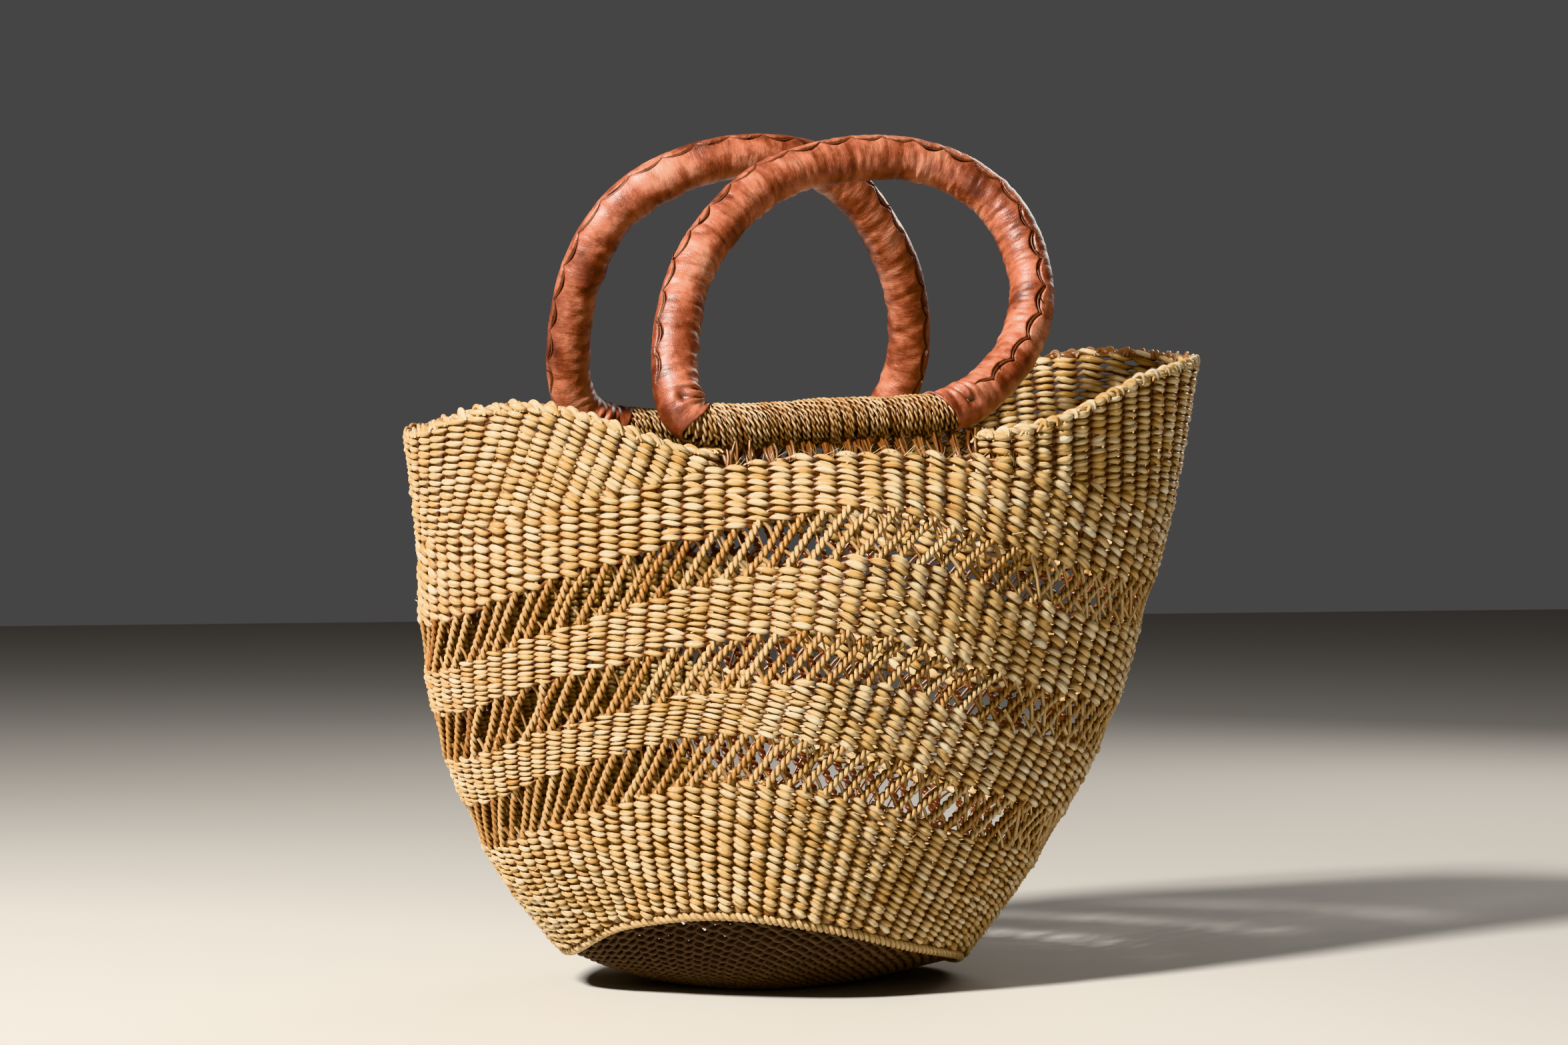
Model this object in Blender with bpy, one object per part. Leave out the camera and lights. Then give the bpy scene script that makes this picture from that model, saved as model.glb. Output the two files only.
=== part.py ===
"""Woven market basket: a flared grass basket with two leather-covered ring handles.

Units are metres, +Z is up, +X runs along the long side of the mouth and -Y is the front.
The basket stands on a flat patch in the middle of its hull-shaped base.
"""

import math

import bmesh
import bpy
import numpy as np

CM = 0.01
GAP = 0.0003
SLEEVE_GAP = 0.0006
CENTRE_SHIFT = (-0.0169, -0.0008)

# ---- basket wall -----------------------------------------------------------------------
COLUMNS = 60
PROFILE_STEPS = 120
WALL_THICKNESS = 0.0056
OPENWORK_THICKNESS = 0.0036
OPENWORK_HALF_HEIGHT = 0.0118
PINCH_CENTRE = -1.0 * CM
PINCH_WIDTH = 8.6 * CM
CREASE_WIDTH = 3.5 * CM
CREASE_SOFTNESS = 0.15

# Each level of the wall in centimetres: share of the wall height, centre in x, half length to
# the left and to the right, half depth, squareness, pinch at the handles, where the front
# crease stands and how far it stands out.
LEVELS = {
    "base_edge": (0.00, -1.30, 10.6, 10.6, 9.4, 2.00, 0.00, -5.0, 0.3),
    "haunch": (0.13, -1.00, 13.6, 13.2, 10.5, 1.95, 0.00, -5.0, 0.5),
    "openwork_lower": (0.26, -0.55, 16.0, 15.2, 11.2, 1.85, 0.00, -4.6, 0.8),
    "openwork_middle": (0.42, 0.40, 18.7, 17.7, 11.3, 1.80, 0.00, -2.4, 1.0),
    "openwork_upper": (0.58, 0.85, 20.0, 19.6, 10.8, 1.85, 0.00, 0.6, 0.9),
    "shoulder": (0.74, 1.20, 20.6, 20.8, 10.3, 1.95, 0.12, 2.0, 0.4),
    "rim": (1.00, 1.40, 21.4, 22.0, 10.2, 2.15, 0.20, 2.0, 0.0),
}
# Height of each level in centimetres at twelve even stations, from the front centre round by
# the right end, the back and the left end.
HEIGHTS = {
    "base_edge": (3.8, 2.5, 1.5, 0.7, 1.5, 2.6, 4.0, 4.4, 3.6, 2.0, 3.8, 4.5),
    "haunch": (7.8, 6.0, 4.9, 4.1, 4.9, 6.2, 8.0, 8.4, 7.2, 5.3, 7.4, 8.7),
    "openwork_lower": (11.6, 9.4, 8.0, 7.3, 8.0, 9.6, 11.8, 12.2, 10.6, 8.7, 10.8, 12.5),
    "openwork_middle": (17.3, 15.0, 13.5, 13.0, 13.6, 15.2, 17.3, 16.9, 15.1, 13.2, 15.2, 17.0),
    "openwork_upper": (23.5, 21.5, 19.9, 19.7, 20.2, 21.5, 23.3, 22.4, 20.1, 17.7, 19.9, 22.3),
    "shoulder": (27.4, 27.0, 25.4, 24.8, 25.4, 26.6, 27.4, 26.8, 24.6, 22.9, 24.5, 26.6),
    "rim": (28.1, 29.0, 32.0, 33.2, 33.6, 30.0, 28.1, 27.7, 29.4, 28.6, 29.9, 27.6),
}

# ---- base ------------------------------------------------------------------------------
BASE_CENTRE = (-1.3 * CM, 0.0)
BASE_THICKNESS = 0.0048
BASE_FLAT_SHARE = 0.40
BASE_RISE_POWER = 1.6
BASE_EDGE_MARGIN = 0.0038
BASE_RINGS = 7
EDGE_CORD_RADIUS = 0.0032
CORD_SIDES = 8

# ---- rim -------------------------------------------------------------------------------
BORDER_RADIUS = 0.0034
BORDER_DROP = 0.0030
WING_DROP = 0.0086
WING_MIN_HEIGHT = 0.0018
# Where each raised end of the mouth starts and stops, as shares of the way round.
WING_SPANS = {"right": (0.067, 0.433), "left": (0.583, 0.917)}
TAIL_COUNT = 20
TAIL_REACH = 4.9 * CM
TAIL_FOOT_HEIGHT = 0.0016
TAIL_THICKNESS = 0.0028
TAIL_CLEARANCE = 0.0009

# ---- handles ---------------------------------------------------------------------------
HANDLE_LEAN = math.radians(22.0)
BARS = {
    "front": {"centre": (-1.15 * CM, -7.9 * CM, 29.15 * CM), "tilt": math.radians(3.4), "side": -1},
    "rear": {"centre": (0.0, 7.9 * CM, 29.2 * CM), "tilt": 0.0, "side": 1},
}
# Centre line of each ring in centimetres: along the bar and up from it, from the left end of
# the bar over the top to the right end.
LOOPS = {
    "front": (
        (-5.5, 0.0), (-6.25, 0.2), (-6.8, 0.75), (-7.0, 1.6), (-6.95, 2.7), (-6.75, 4.05),
        (-6.2, 6.1), (-5.2, 8.35), (-3.7, 10.4), (-1.3, 12.6), (1.4, 14.0), (4.3, 14.65),
        (7.0, 14.7), (8.9, 14.35), (10.8, 13.5), (12.5, 11.9), (13.35, 9.7), (13.45, 7.2),
        (12.95, 5.2), (11.7, 3.2), (10.15, 1.75), (8.6, 0.65), (7.0, 0.08), (6.0, 0.0),
    ),
    "rear": (
        (-5.9, 0.0), (-7.4, 0.2), (-8.9, 1.0), (-9.65, 2.4), (-9.95, 4.3), (-10.0, 6.0),
        (-9.85, 8.0), (-9.25, 10.15), (-8.3, 11.9), (-6.85, 13.35), (-4.85, 14.5),
        (-2.5, 15.25), (-0.1, 15.5), (2.2, 15.25), (4.1, 14.3), (5.5, 13.15), (6.95, 11.5),
        (8.25, 9.5), (9.15, 7.3), (9.55, 5.05), (9.45, 3.2), (8.8, 1.3), (7.4, 0.25), (5.9, 0.0),
    ),
}
CORE_STEP = 0.0075
SLEEVE_STEP = 0.0090
FOLD_STEP = 0.0040
BAR_SEGMENTS = 6
WRAP_SEGMENTS = 6
BAR_CORE_RADIUS = 0.0088
RING_CORE_RADIUS = 0.0100
LEATHER_RADIUS = 0.0119
FOLD_END_RADIUS = 0.0113
FOLD_START = 0.0038
FOLD_LENGTH = 0.030
CORE_SWELL_START = 0.004
CORE_SWELL_LENGTH = 0.020
WRAP_RADIUS = 0.0112
WRAP_END_MARGIN = 0.0010
CORE_SIDES = 10
LEATHER_SIDES = 16
WRAP_SIDES = 18
LACE_RADIUS = 0.0018
LACE_ANGLE = math.radians(38.0)
LACE_END_MARGIN = 0.012
LACE_SIDES = 6

# ---- colours ---------------------------------------------------------------------------
STRAW = (0.62, 0.41, 0.17, 1.0)
STRAW_SHADE = (0.45, 0.25, 0.09, 1.0)
BASE_STRAW = (0.30, 0.17, 0.07, 1.0)
LEATHER = (0.42, 0.13, 0.06, 1.0)
DARK_LEATHER = (0.26, 0.08, 0.04, 1.0)


# ---- start clean and small helpers -----------------------------------------------------
def clear_scene():
    for item in list(bpy.data.objects):
        bpy.data.objects.remove(item, do_unlink=True)
    for mesh in list(bpy.data.meshes):
        bpy.data.meshes.remove(mesh)
    for material in list(bpy.data.materials):
        bpy.data.materials.remove(material)


def make_material(name, colour, roughness):
    material = bpy.data.materials.new(name)
    material.use_nodes = True
    shader = material.node_tree.nodes["Principled BSDF"]
    shader.inputs["Base Color"].default_value = colour
    shader.inputs["Roughness"].default_value = roughness
    shader.inputs["Metallic"].default_value = 0.0
    material.diffuse_color = colour
    return material


def make_object(name, points, faces, colour, roughness):
    """One named closed body with outward faces, smooth shading and its own material."""
    mesh = bpy.data.meshes.new(name)
    mesh.from_pydata([tuple(map(float, point)) for point in points], [], faces)
    body = bmesh.new()
    body.from_mesh(mesh)
    bmesh.ops.recalc_face_normals(body, faces=body.faces)
    body.to_mesh(mesh)
    body.free()
    mesh.polygons.foreach_set("use_smooth", [True] * len(mesh.polygons))
    mesh.materials.append(make_material(name + "_material", colour, roughness))
    item = bpy.data.objects.new(name, mesh)
    bpy.context.collection.objects.link(item)
    return item


def grid_faces(start, across, along, closed):
    """Quads of a grid whose point numbers run across first, from a starting number."""
    faces = []
    for row in range(along - 1):
        for column in range(across if closed else across - 1):
            beside = (column + 1) % across
            low = start + row * across
            faces.append((low + column, low + beside, low + across + beside, low + across + column))
    return faces


def catmull_rom(before, start, end, after, share):
    """Smooth value between start and end, shaped by the values on both sides."""
    slope = end - before
    bend = 2 * before - 5 * start + 4 * end - after
    turn = 3 * (start - end) + after - before
    return start + 0.5 * share * (slope + share * (bend + share * turn))


def periodic_value(values, turn):
    """Smooth value round a closed ring of even stations; turn is a share of the way round."""
    table = np.array(values, dtype=float)
    place = np.mod(turn, 1.0) * len(table)
    index = np.floor(place).astype(int)
    picks = [table[(index + step) % len(table)] for step in (-1, 0, 1, 2)]
    return catmull_rom(picks[0], picks[1], picks[2], picks[3], place - index)


# ---- shape of the wall -----------------------------------------------------------------
def level_outline(level, angle):
    """Plan outline of one level: a squared oval, pinched at the handles, creased in front."""
    _, centre, left, right, depth, squareness, pinch, crease_at, crease = LEVELS[level]
    cosine = np.cos(angle)
    sine = np.sin(angle)
    power = 2.0 / squareness
    reach = np.where(cosine < 0, left, right) * CM
    x = centre * CM + reach * np.sign(cosine) * np.abs(cosine) ** power
    y = depth * CM * np.sign(sine) * np.abs(sine) ** power
    y = y * (1 - pinch * np.exp(-(((x - PINCH_CENTRE) / PINCH_WIDTH) ** 4)))
    stand = np.where(sine < 0, crease_at * CM, 0.0)
    spread = np.sqrt(((x - stand) / CREASE_WIDTH) ** 2 + CREASE_SOFTNESS)
    fold = crease * CM * np.exp(math.sqrt(CREASE_SOFTNESS) - spread) * np.abs(sine)
    return x, y + np.sign(sine) * fold


def level_points(level, turn):
    """Points of one level at even shares of its plan length, turn 0 being the front centre."""
    angle = np.linspace(-math.pi / 2, 1.5 * math.pi, 1441)
    x, y = level_outline(level, angle)
    run = np.concatenate([[0.0], np.cumsum(np.hypot(np.diff(x), np.diff(y)))])
    share = np.mod(turn, 1.0)
    height = periodic_value(HEIGHTS[level], share) * CM
    across = np.interp(share, run / run[-1], x)
    deep = np.interp(share, run / run[-1], y)
    return np.stack([across, deep, height], axis=-1)


def wall_surface(turn, steps):
    """Middle surface of the wall: one smooth profile through all levels for every turn."""
    shares = np.array([LEVELS[level][0] for level in LEVELS])
    rings = np.stack([level_points(level, turn) for level in LEVELS])
    slopes = np.empty_like(rings)
    slopes[0] = (rings[1] - rings[0]) / (shares[1] - shares[0])
    slopes[-1] = (rings[-1] - rings[-2]) / (shares[-1] - shares[-2])
    spans = (shares[2:] - shares[:-2])[:, None, None]
    slopes[1:-1] = (rings[2:] - rings[:-2]) / spans
    profile = []
    for height in np.linspace(0.0, 1.0, steps):
        index = int(np.clip(np.searchsorted(shares, height) - 1, 0, len(shares) - 2))
        span = shares[index + 1] - shares[index]
        t = (height - shares[index]) / span
        point = (2 * t**3 - 3 * t**2 + 1) * rings[index]
        point = point + (t**3 - 2 * t**2 + t) * span * slopes[index]
        point = point + (3 * t**2 - 2 * t**3) * rings[index + 1]
        point = point + (t**3 - t**2) * span * slopes[index + 1]
        profile.append(point)
    return np.stack(profile)


class Wall:
    """Sampled wall: positions, outward normals and lengths measured up the wall."""

    def __init__(self, turns):
        self.turns = turns
        self.points = wall_surface(turns, PROFILE_STEPS)
        nudge = 1e-4
        ahead = wall_surface(turns + nudge, PROFILE_STEPS)
        behind = wall_surface(turns - nudge, PROFILE_STEPS)
        upward = np.gradient(self.points, axis=0)
        normal = np.cross(ahead - behind, upward)
        self.normals = normal / np.linalg.norm(normal, axis=-1, keepdims=True)
        steps = np.linalg.norm(np.diff(self.points, axis=0), axis=-1)
        start = np.zeros((1, len(turns)))
        self.length = np.concatenate([start, np.cumsum(steps, axis=0)])

    def length_at(self, level, offset=0.0):
        """Length up the wall of a level, plus an offset, for every column."""
        place = LEVELS[level][0] * (PROFILE_STEPS - 1)
        low = int(place)
        high = min(low + 1, PROFILE_STEPS - 1)
        part = place - low
        return self.length[low] * (1 - part) + self.length[high] * part + offset

    def at(self, column, length, outward):
        """Point of one column at a length up the wall, moved outward by a distance."""
        run = self.length[:, column]
        spot = [np.interp(length, run, self.points[:, column, k]) for k in range(3)]
        normal = [np.interp(length, run, self.normals[:, column, k]) for k in range(3)]
        return np.array(spot) + np.array(normal) * outward


# ---- basket wall pieces ----------------------------------------------------------------
def ring_shell(name, wall, low, high, rows, thickness, colour):
    """Closed band of wall between two lengths, given for every column."""
    points = []
    for outward in (thickness / 2, -thickness / 2):
        for row in range(rows + 1):
            part = row / rows
            for column in range(len(wall.turns)):
                length = low[column] * (1 - part) + high[column] * part
                points.append(wall.at(column, length, outward))
    across = len(wall.turns)
    sheet = (rows + 1) * across
    faces = grid_faces(0, across, rows + 1, True)
    faces += [face[::-1] for face in grid_faces(sheet, across, rows + 1, True)]
    for row in (0, rows):
        for column in range(across):
            beside = (column + 1) % across
            here = row * across + column
            there = row * across + beside
            faces.append((here, there, sheet + there, sheet + here))
    return make_object(name, points, faces, colour, 0.75)


def build_wall(wall):
    half = OPENWORK_HALF_HEIGHT
    edge = wall.length_at("base_edge", BASE_EDGE_MARGIN)
    cuts = [edge]
    for level in ("openwork_lower", "openwork_middle", "openwork_upper"):
        cuts.append(wall.length_at(level, -half))
        cuts.append(wall.length_at(level, half))
    cuts.append(wall.length_at("shoulder"))
    bands = (
        ("lower_wall_band", 6, WALL_THICKNESS, STRAW),
        ("openwork_band_lower", 2, OPENWORK_THICKNESS, STRAW_SHADE),
        ("second_wall_band", 3, WALL_THICKNESS, STRAW),
        ("openwork_band_middle", 2, OPENWORK_THICKNESS, STRAW_SHADE),
        ("third_wall_band", 3, WALL_THICKNESS, STRAW),
        ("openwork_band_upper", 2, OPENWORK_THICKNESS, STRAW_SHADE),
        ("top_wall_band", 3, WALL_THICKNESS, STRAW),
    )
    for index, (name, rows, thickness, colour) in enumerate(bands):
        low = cuts[index] + GAP / 2
        high = cuts[index + 1] - GAP / 2
        ring_shell(name, wall, low, high, rows, thickness, colour)


def wing_columns(wall, end, needed):
    """Columns round one end of the mouth where the rim stands high enough above the shoulder."""
    height = wall.length_at("rim") - wall.length_at("shoulder")
    first, last = WING_SPANS[end]
    count = len(wall.turns)
    columns = range(int(round(first * count)), int(round(last * count)) + 1)
    return [column for column in columns if height[column] > needed]


def build_wing(end, wall):
    """Raised end of the mouth: wall between the shoulder and the rim border."""
    top = wall.length_at("rim", -WING_DROP)
    low = wall.length_at("shoulder", GAP)
    needed = WING_DROP + GAP + WING_MIN_HEIGHT
    columns = wing_columns(wall, end, needed)
    rows = 5
    across = len(columns)
    points = []
    for outward in (WALL_THICKNESS / 2, -WALL_THICKNESS / 2):
        for row in range(rows + 1):
            for column in columns:
                length = low[column] + (top[column] - low[column]) * row / rows
                points.append(wall.at(column, length, outward))
    sheet = (rows + 1) * across
    faces = grid_faces(0, across, rows + 1, False)
    faces += [face[::-1] for face in grid_faces(sheet, across, rows + 1, False)]
    border = list(range(across))
    border += [row * across + across - 1 for row in range(1, rows + 1)]
    border += [rows * across + column for column in range(across - 2, -1, -1)]
    border += [row * across for row in range(rows - 1, 0, -1)]
    for here, there in zip(border, border[1:] + border[:1]):
        faces.append((here, there, sheet + there, sheet + here))
    make_object("wing_" + end, points, faces, STRAW, 0.75)


def swept_tube(name, centres, sides_out, sides_up, radii, sides, closed, colour, roughness):
    """Tube round a run of centres; each ring is given by its two cross directions."""
    points = []
    for centre, out, up, radius in zip(centres, sides_out, sides_up, radii):
        for side in range(sides):
            angle = 2 * math.pi * side / sides
            points.append(centre + radius * (math.cos(angle) * out + math.sin(angle) * up))
    count = len(centres)
    faces = grid_faces(0, sides, count, True)
    if closed:
        last = (count - 1) * sides
        for side in range(sides):
            beside = (side + 1) % sides
            faces.append((last + side, last + beside, beside, side))
    else:
        faces.append(tuple(range(sides)))
        faces.append(tuple(range(count * sides - 1, (count - 1) * sides - 1, -1)))
    return make_object(name, points, faces, colour, roughness)


def wall_tube(name, wall, columns, lengths, outward, radius, closed, colour):
    """Tube that follows the wall at given lengths, its rings square to its own path."""
    centres = np.array([wall.at(c, length, outward) for c, length in zip(columns, lengths)])
    normals = np.array([wall.at(c, length, 1.0) for c, length in zip(columns, lengths)])
    normals -= np.array([wall.at(c, length, 0.0) for c, length in zip(columns, lengths)])
    if closed:
        tangents = np.roll(centres, -1, axis=0) - np.roll(centres, 1, axis=0)
    else:
        tangents = np.gradient(centres, axis=0)
    tangents /= np.linalg.norm(tangents, axis=1, keepdims=True)
    normals -= tangents * np.sum(normals * tangents, axis=1, keepdims=True)
    normals /= np.linalg.norm(normals, axis=1, keepdims=True)
    ups = np.cross(tangents, normals)
    radii = [radius] * len(centres)
    swept_tube(name, centres, normals, ups, radii, CORD_SIDES, closed, colour, 0.75)


def build_rim(wall):
    needed = BORDER_DROP + BORDER_RADIUS + GAP
    lengths = wall.length_at("rim", -BORDER_DROP)
    for end in ("right", "left"):
        columns = wing_columns(wall, end, needed)
        chosen = [lengths[column] for column in columns]
        wall_tube("rim_border_" + end, wall, columns, chosen, 0.0, BORDER_RADIUS, False, STRAW)


# ---- base pieces -----------------------------------------------------------------------
def base_point(edge, share):
    """Point of the underside on the way from the base centre to the base edge."""
    rise = max(0.0, (share - BASE_FLAT_SHARE) / (1 - BASE_FLAT_SHARE))
    x = BASE_CENTRE[0] + (edge[0] - BASE_CENTRE[0]) * share
    y = BASE_CENTRE[1] + (edge[1] - BASE_CENTRE[1]) * share
    return np.array([x, y, edge[2] * rise**BASE_RISE_POWER])


def build_base(wall):
    edge = wall.points[0]
    reach = np.hypot(edge[:, 0] - BASE_CENTRE[0], edge[:, 1] - BASE_CENTRE[1])
    across = len(wall.turns)
    shares = [BASE_FLAT_SHARE * 0.5, BASE_FLAT_SHARE]
    step = (1 - BASE_FLAT_SHARE) / (BASE_RINGS - 2)
    shares += [BASE_FLAT_SHARE + step * (index + 1) for index in range(BASE_RINGS - 2)]
    points = []
    for lift in (0.0, BASE_THICKNESS):
        for share in shares:
            for column in range(across):
                kept = 1 - BASE_EDGE_MARGIN / reach[column]
                spot = base_point(edge[column], share * kept)
                points.append(spot + np.array([0.0, 0.0, lift]))
    sheet = len(shares) * across
    faces = [face[::-1] for face in grid_faces(0, across, len(shares), True)]
    faces += grid_faces(sheet, across, len(shares), True)
    points.append(np.array([BASE_CENTRE[0], BASE_CENTRE[1], 0.0]))
    points.append(np.array([BASE_CENTRE[0], BASE_CENTRE[1], BASE_THICKNESS]))
    rim = (len(shares) - 1) * across
    for column in range(across):
        beside = (column + 1) % across
        faces.append((column, beside, 2 * sheet))
        faces.append((sheet + beside, sheet + column, 2 * sheet + 1))
        faces.append((rim + column, rim + beside, sheet + rim + beside, sheet + rim + column))
    make_object("base_panel", points, faces, BASE_STRAW, 0.85)
    columns = range(across)
    wall_tube("base_edge_cord", wall, columns, [0.0] * across, 0.0, EDGE_CORD_RADIUS, True, BASE_STRAW)


# ---- handles ---------------------------------------------------------------------------
class RingPath:
    """Centre line of a ring in its own plane, from the left end of the bar to the right end."""

    def __init__(self, points):
        control = [np.array(point) * CM for point in points]
        control = [2 * control[0] - control[1]] + control + [2 * control[-1] - control[-2]]
        dense = []
        for index in range(1, len(control) - 2):
            group = control[index - 1 : index + 3]
            for share in np.linspace(0.0, 1.0, 24, endpoint=False):
                dense.append(catmull_rom(group[0], group[1], group[2], group[3], share))
        dense.append(control[-2])
        self.path = np.array(dense)
        steps = np.linalg.norm(np.diff(self.path, axis=0), axis=1)
        self.run = np.concatenate([[0.0], np.cumsum(steps)])
        self.total = self.run[-1]
        self.tangent = np.gradient(self.path, axis=0)
        self.tangent /= np.linalg.norm(self.tangent, axis=1, keepdims=True)
        self.tangent[0] = (-1.0, 0.0)
        self.tangent[-1] = (-1.0, 0.0)

    def stretch(self, first, last, step):
        """Places, centres, outward and sideways directions between two lengths."""
        count = max(2, int(round((last - first) / step)) + 1)
        places = np.linspace(first, last, count)
        centres = []
        outward = []
        for place in places:
            x, z = (float(np.interp(place, self.run, self.path[:, k])) for k in range(2))
            tx, tz = (float(np.interp(place, self.run, self.tangent[:, k])) for k in range(2))
            size = math.hypot(tx, tz)
            centres.append(np.array([x, 0.0, z]))
            outward.append(np.array([-tz / size, 0.0, tx / size]))
        sideways = [np.array([0.0, -1.0, 0.0])] * count
        return places, (centres, outward, sideways)


def hollow_tube(name, frames, inner, outer, sides, colour, roughness):
    """Open-ended tube along a path in the ring's plane, with a wall between two radii."""
    centres, outward, sideways = frames
    points = []
    for radii in (outer, inner):
        for centre, out, side, radius in zip(centres, outward, sideways, radii):
            for index in range(sides):
                angle = 2 * math.pi * index / sides
                points.append(centre + radius * (math.cos(angle) * out + math.sin(angle) * side))
    count = len(centres)
    sheet = count * sides
    faces = grid_faces(0, sides, count, True)
    faces += [face[::-1] for face in grid_faces(sheet, sides, count, True)]
    for row in (0, count - 1):
        for index in range(sides):
            here = row * sides + index
            there = row * sides + (index + 1) % sides
            faces.append((here, there, sheet + there, sheet + here))
    return make_object(name, points, faces, colour, roughness)


def core_radius(place, total):
    """The straw core is thinner under the bar binding and thicker in the leather ring."""
    nearest = min(place, total - place) - CORE_SWELL_START
    part = min(1.0, max(0.0, nearest / CORE_SWELL_LENGTH))
    return BAR_CORE_RADIUS + (RING_CORE_RADIUS - BAR_CORE_RADIUS) * part


def build_core(name, ring):
    """Closed bundle of straw: up over the ring and back along the bar."""
    places, (centres, outward, sideways) = ring.stretch(0.0, ring.total, CORE_STEP)
    radii = [core_radius(place, ring.total) for place in places]
    right = centres[-1][0]
    left = centres[0][0]
    for index in range(1, BAR_SEGMENTS):
        x = right + (left - right) * index / BAR_SEGMENTS
        centres.append(np.array([x, 0.0, 0.0]))
        outward.append(np.array([0.0, 0.0, -1.0]))
        radii.append(BAR_CORE_RADIUS)
    sideways = [np.array([0.0, -1.0, 0.0])] * len(centres)
    return swept_tube(name, centres, outward, sideways, radii, CORE_SIDES, True, STRAW_SHADE, 0.8)


def build_leather(side, ring):
    """Leather sleeve, its two folded ends and the laced seam along its outer edge."""
    total = ring.total
    sleeve_end = total - FOLD_LENGTH - GAP
    fold_end = total - FOLD_START
    thick = LEATHER_RADIUS
    thin = FOLD_END_RADIUS
    stretches = (
        ("leather_fold_left", FOLD_START, FOLD_LENGTH, thin, thick, FOLD_STEP),
        ("leather_sleeve", FOLD_LENGTH + GAP, sleeve_end, thick, thick, SLEEVE_STEP),
        ("leather_fold_right", total - FOLD_LENGTH, fold_end, thick, thin, FOLD_STEP),
    )
    pieces = []
    for label, first, last, start_radius, end_radius, step in stretches:
        places, frames = ring.stretch(first, last, step)
        inner = [core_radius(place, total) + SLEEVE_GAP for place in places]
        outer = np.linspace(start_radius, end_radius, len(places))
        name = side + "_" + label
        pieces.append(hollow_tube(name, frames, inner, outer, LEATHER_SIDES, LEATHER, 0.5))
    margin = FOLD_LENGTH + LACE_END_MARGIN
    _, (centres, outward, sideways) = ring.stretch(margin, total - margin, SLEEVE_STEP)
    away = LEATHER_RADIUS + GAP + LACE_RADIUS
    along_out = away * math.cos(LACE_ANGLE)
    along_side = away * math.sin(LACE_ANGLE)
    centres = [c + along_out * o + along_side * s for c, o, s in zip(centres, outward, sideways)]
    radii = [LACE_RADIUS] * len(centres)
    name = side + "_seam_lacing"
    lace = swept_tube(name, centres, outward, sideways, radii, LACE_SIDES, False, DARK_LEATHER, 0.6)
    return pieces + [lace]


def build_wrap(side, bar, left, right):
    """Grass binding round the bar, an open-ended sleeve that belongs to the rim."""
    count = WRAP_SEGMENTS + 1
    centres = [np.array([x, 0.0, 0.0]) for x in np.linspace(left, right, count)]
    outward = [np.array([0.0, 0.0, 1.0])] * count
    sideways = [np.array([0.0, -1.0, 0.0])] * count
    inner = [BAR_CORE_RADIUS + SLEEVE_GAP] * count
    outer = [WRAP_RADIUS] * count
    frames = (centres, outward, sideways)
    name = side + "_binding_wrap"
    wrap = hollow_tube(name, frames, inner, outer, WRAP_SIDES, STRAW, 0.7)
    wrap.location = bar["centre"]
    wrap.rotation_euler = (0.0, -bar["tilt"], 0.0)


def build_handle(side):
    bar = BARS[side]
    ring = RingPath(LOOPS[side])
    hinge = bpy.data.objects.new(side + "_handle_hinge", None)
    bpy.context.collection.objects.link(hinge)
    hinge.location = bar["centre"]
    hinge.rotation_euler = (bar["side"] * HANDLE_LEAN, -bar["tilt"], 0.0)
    pieces = [build_core(side + "_handle_core", ring)]
    pieces += build_leather(side, ring)
    for piece in pieces:
        piece.parent = hinge
    build_wrap(side, bar, ring.path[0, 0] + WRAP_END_MARGIN, ring.path[-1, 0] - WRAP_END_MARGIN)


# ---- stake tails below the bars --------------------------------------------------------
def turn_at(x, front):
    """Share of the way round the shoulder line at a given x, on the front or the back."""
    if front:
        turns = np.linspace(-0.25, 0.25, 1001)
        return float(np.interp(x, level_points("shoulder", turns)[:, 0], turns))
    turns = np.linspace(0.75, 0.25, 1001)
    return float(np.interp(x, level_points("shoulder", turns)[:, 0], turns))


def build_tails(side):
    """Comb of stake ends that runs from the weave up to the binding on the bar."""
    bar = BARS[side]
    centre = bar["centre"]
    reach = TAIL_REACH
    edges = np.linspace(centre[0] - reach, centre[0] + reach, 2 * TAIL_COUNT)
    turns = np.array([turn_at(x, side == "front") for x in edges])
    wall = Wall(turns)
    foot = wall.length_at("shoulder", GAP)
    low = [wall.at(k, foot[k], 0.0) for k in range(len(turns))]
    points = []
    for x, spot in zip(edges, low):
        axis_height = centre[2] + (x - centre[0]) * math.tan(bar["tilt"])
        target = np.array([x, centre[1], axis_height])
        toward = target - spot
        room = np.linalg.norm(toward) - WRAP_RADIUS - TAIL_CLEARANCE
        toward /= np.linalg.norm(toward)
        points += [spot, spot + toward * TAIL_FOOT_HEIGHT, spot + toward * room]
    faces = []
    for k in range(len(edges) - 1):
        here = 3 * k
        there = 3 * (k + 1)
        faces.append((here, there, there + 1, here + 1))
        if k % 2 == 0:
            faces.append((here + 1, there + 1, there + 2, here + 2))
    mesh = bpy.data.meshes.new(side + "_stake_tails")
    mesh.from_pydata([tuple(map(float, point)) for point in points], [], faces)
    mesh.materials.append(make_material(side + "_stake_tails_material", STRAW_SHADE, 0.8))
    item = bpy.data.objects.new(side + "_stake_tails", mesh)
    bpy.context.collection.objects.link(item)
    thicken = item.modifiers.new("thickness", "SOLIDIFY")
    thicken.thickness = TAIL_THICKNESS
    thicken.offset = 0.0


def place_on_origin():
    """Move every top-level piece so the origin is under the middle of the bounding box."""
    for item in bpy.data.objects:
        if item.parent is None:
            item.location.x += CENTRE_SHIFT[0]
            item.location.y += CENTRE_SHIFT[1]


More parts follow.
